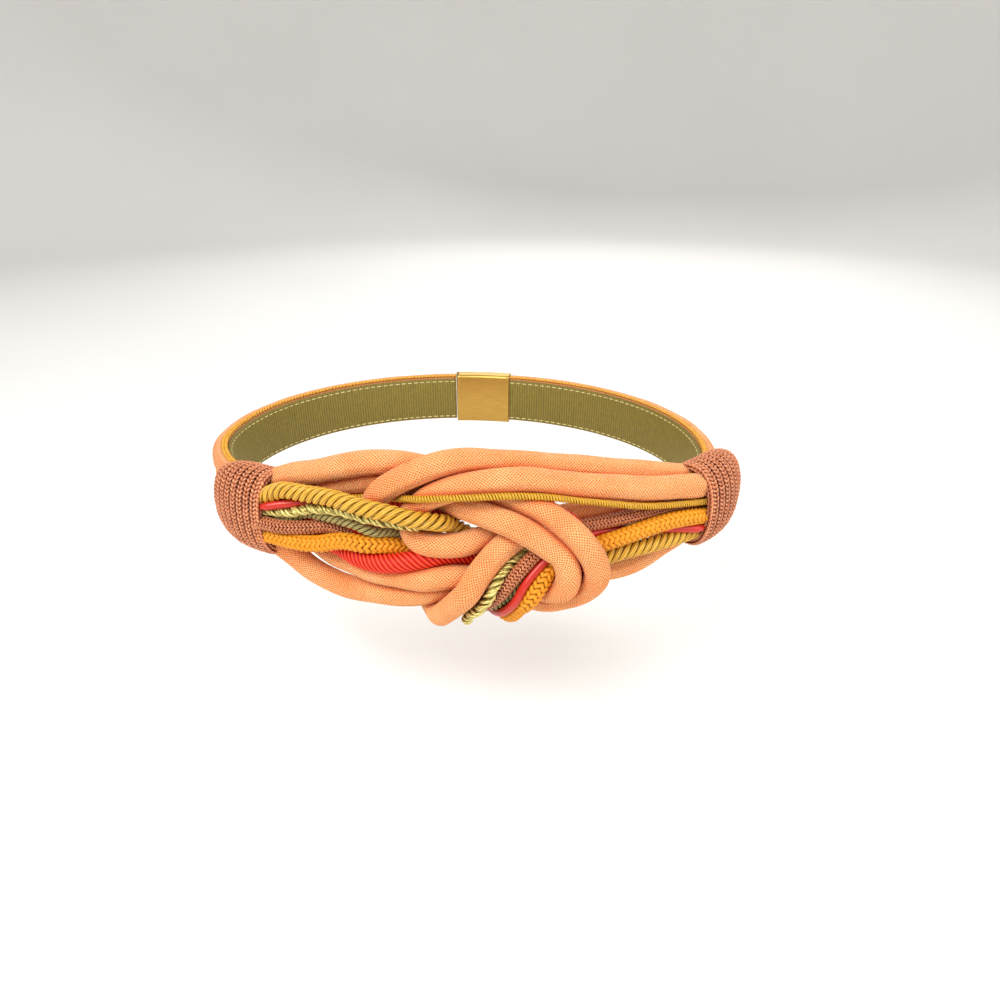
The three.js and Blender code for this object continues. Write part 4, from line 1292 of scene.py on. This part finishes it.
def makeLiningHalf(side, start, end):
    half = strap["height"] / 2 - strap["lining edge"]
    thick = strap["lining thickness"]
    inset, rise = strap["lining bevel"]
    outline = [(-half, rise), (-half + inset, 0), (half - inset, 0), (half, rise), (half, thick),
               (-half, thick)]
    band = skinBand(f"strap_lining_{side}", start, end, outline, strap["lining step"])
    band.data.materials.append(lining)
    sewn = []
    count = round((end - start) / strap["sewing pitch"])
    for i in range(count):
        along = start + (end - start) * (i + 0.5) / count
        for up in (half - strap["sewing inset"], -half + strap["sewing inset"]):
            spot = onBelt(along, strap["up"] + up, 0)
            ahead = (onBelt(along + 0.001, strap["up"] + up, 0) - spot).normalized()
            inwards = (onBelt(along, strap["up"] + up, -0.001) - spot).normalized()
            sewn.append((spot + inwards * strap["sewing lift"], inwards, ahead))
    thread = runTree(stitchPoints(f"strap_lining_{side}_thread", sewn), layStitches,
                     {**strap["sewing stitch"], "Seed": 6, "Material": creamThread})
    seat(joinPieces(f"strap_lining_{side}", [band, thread]), f"strap_lining_{side}", "strap_lining")


for side, (start, end) in halves.items():
    makeStrapHalf(side, start, end)
    makeLiningHalf(side, start, end)
print("strap made")


# Brushed brass: fine scratches along its length, a little darker in its grain
def brushedBrass():
    material, add, shader = startMaterial("brushed brass", {"Metallic": 1, "Roughness": 0.42})
    place = add("TexCoord").node.outputs["Object"]
    grain = add("Mapping", {"Vector": place, "Scale": (120, 900, 6000)})
    scratch = add("TexNoise", {"Vector": grain, "Scale": 1, "Detail": 4})
    dark, light = colour(clasp["grain dark"]), colour(clasp["grain light"])
    base = add("Mix", scratch, dark, light, data_type="RGBA")
    finishMaterial(shader, base, add("Bump", {"Strength": 0.2, "Distance": 0.0001, "Height": scratch}))
    return material


def makeClasp():
    half, thick, corner = clasp["height"] / 2, clasp["thickness"], clasp["corner"]
    centres = [(-half + corner, corner), (half - corner, corner), (half - corner, thick - corner),
               (-half + corner, thick - corner)]
    outline = []
    for turn, (up, out) in zip((180, 270, 0, 90), centres):
        for i in range(5):
            angle = math.radians(turn + (i / 4) * 90)
            outline.append((up + corner * math.cos(angle), out + corner * math.sin(angle)))
    start, end = halfWaist - clasp["length"] / 2, halfWaist + clasp["length"] / 2
    piece = skinBand("back_clasp", start, end, outline, clasp["step"])
    piece.data.materials.append(brushedBrass())
    seat(piece, "back_clasp", "clasp_brass")


makeClasp()
print("clasp made")

# studio: a pale floor that curves up all round, and three soft lights, each with its place, size and power
studio = {
    "floor at": -0.12,
    "flat radius": 1.6,
    "wall radius": 2.4,
    "wall height": 1.2,
    "middle radius": 0.00001,
    "wall steps": 16,
    "sides": 96,
    "lights aim at": (0, -0.05, 0),
    "lights": {
        "window light": ((-0.55, -0.9, 1.15), 0.9, 26),
        "fill light": ((0.9, -0.5, 0.7), 1.2, 11),
        "back light": ((0.2, 1.2, 0.9), 1.2, 12),
    },
    "sky": 0.38,
    "sky colour": "#eef1f5",
    "floor dark": "#e6e3de",
    "floor light": "#edeae5",
}


def makeStudio():
    rings = []
    reach = studio["wall radius"] - studio["flat radius"]
    levels = [(studio["middle radius"], 0), (studio["flat radius"], 0)]
    for i in range(1, studio["wall steps"] + 1):
        turn = math.pi / 2 * i / studio["wall steps"]
        rise = studio["wall height"] * (1 - math.cos(turn))
        levels.append((studio["flat radius"] + reach * math.sin(turn), rise))
    for radius, up in levels:
        rings.append([
            Vector((radius * math.cos(a), radius * math.sin(a), studio["floor at"] + up))
            for a in (2 * math.pi * i / studio["sides"] for i in range(studio["sides"]))
        ])
    bowl = skinRings("floor", rings, [radius for radius, up in levels], 1, closeEnds=False)
    material, add, shader = startMaterial("pale painted floor", {"Roughness": 0.85})
    cloudy = add("TexNoise", {"Vector": add("TexCoord").node.outputs["Object"], "Scale": 3, "Detail": 2})
    dark, light = colour(studio["floor dark"]), colour(studio["floor light"])
    base = add("Mix", cloudy, dark, light, data_type="RGBA")
    shader.id_data.links.new(base, shader.inputs["Base Color"])
    bowl.data.materials.append(material)
    for name, (where, size, power) in studio["lights"].items():
        data = bpy.data.lights.new(name, "AREA")
        data.size = size
        data.energy = power
        light = bpy.data.objects.new(name, data)
        light.location = where
        away = Vector(where) - Vector(studio["lights aim at"])
        light.rotation_euler = away.to_track_quat("Z", "Y").to_euler()
        bpy.context.scene.collection.objects.link(light)
    world = bpy.data.worlds.new("sky")
    world.use_nodes = True
    sky = world.node_tree.nodes["Background"].inputs
    sky["Color"].default_value = colour(studio["sky colour"])
    sky["Strength"].default_value = studio["sky"]
    bpy.context.scene.world = world


makeStudio()
bpy.context.scene.view_settings.view_transform = "Standard"
print("studio made")
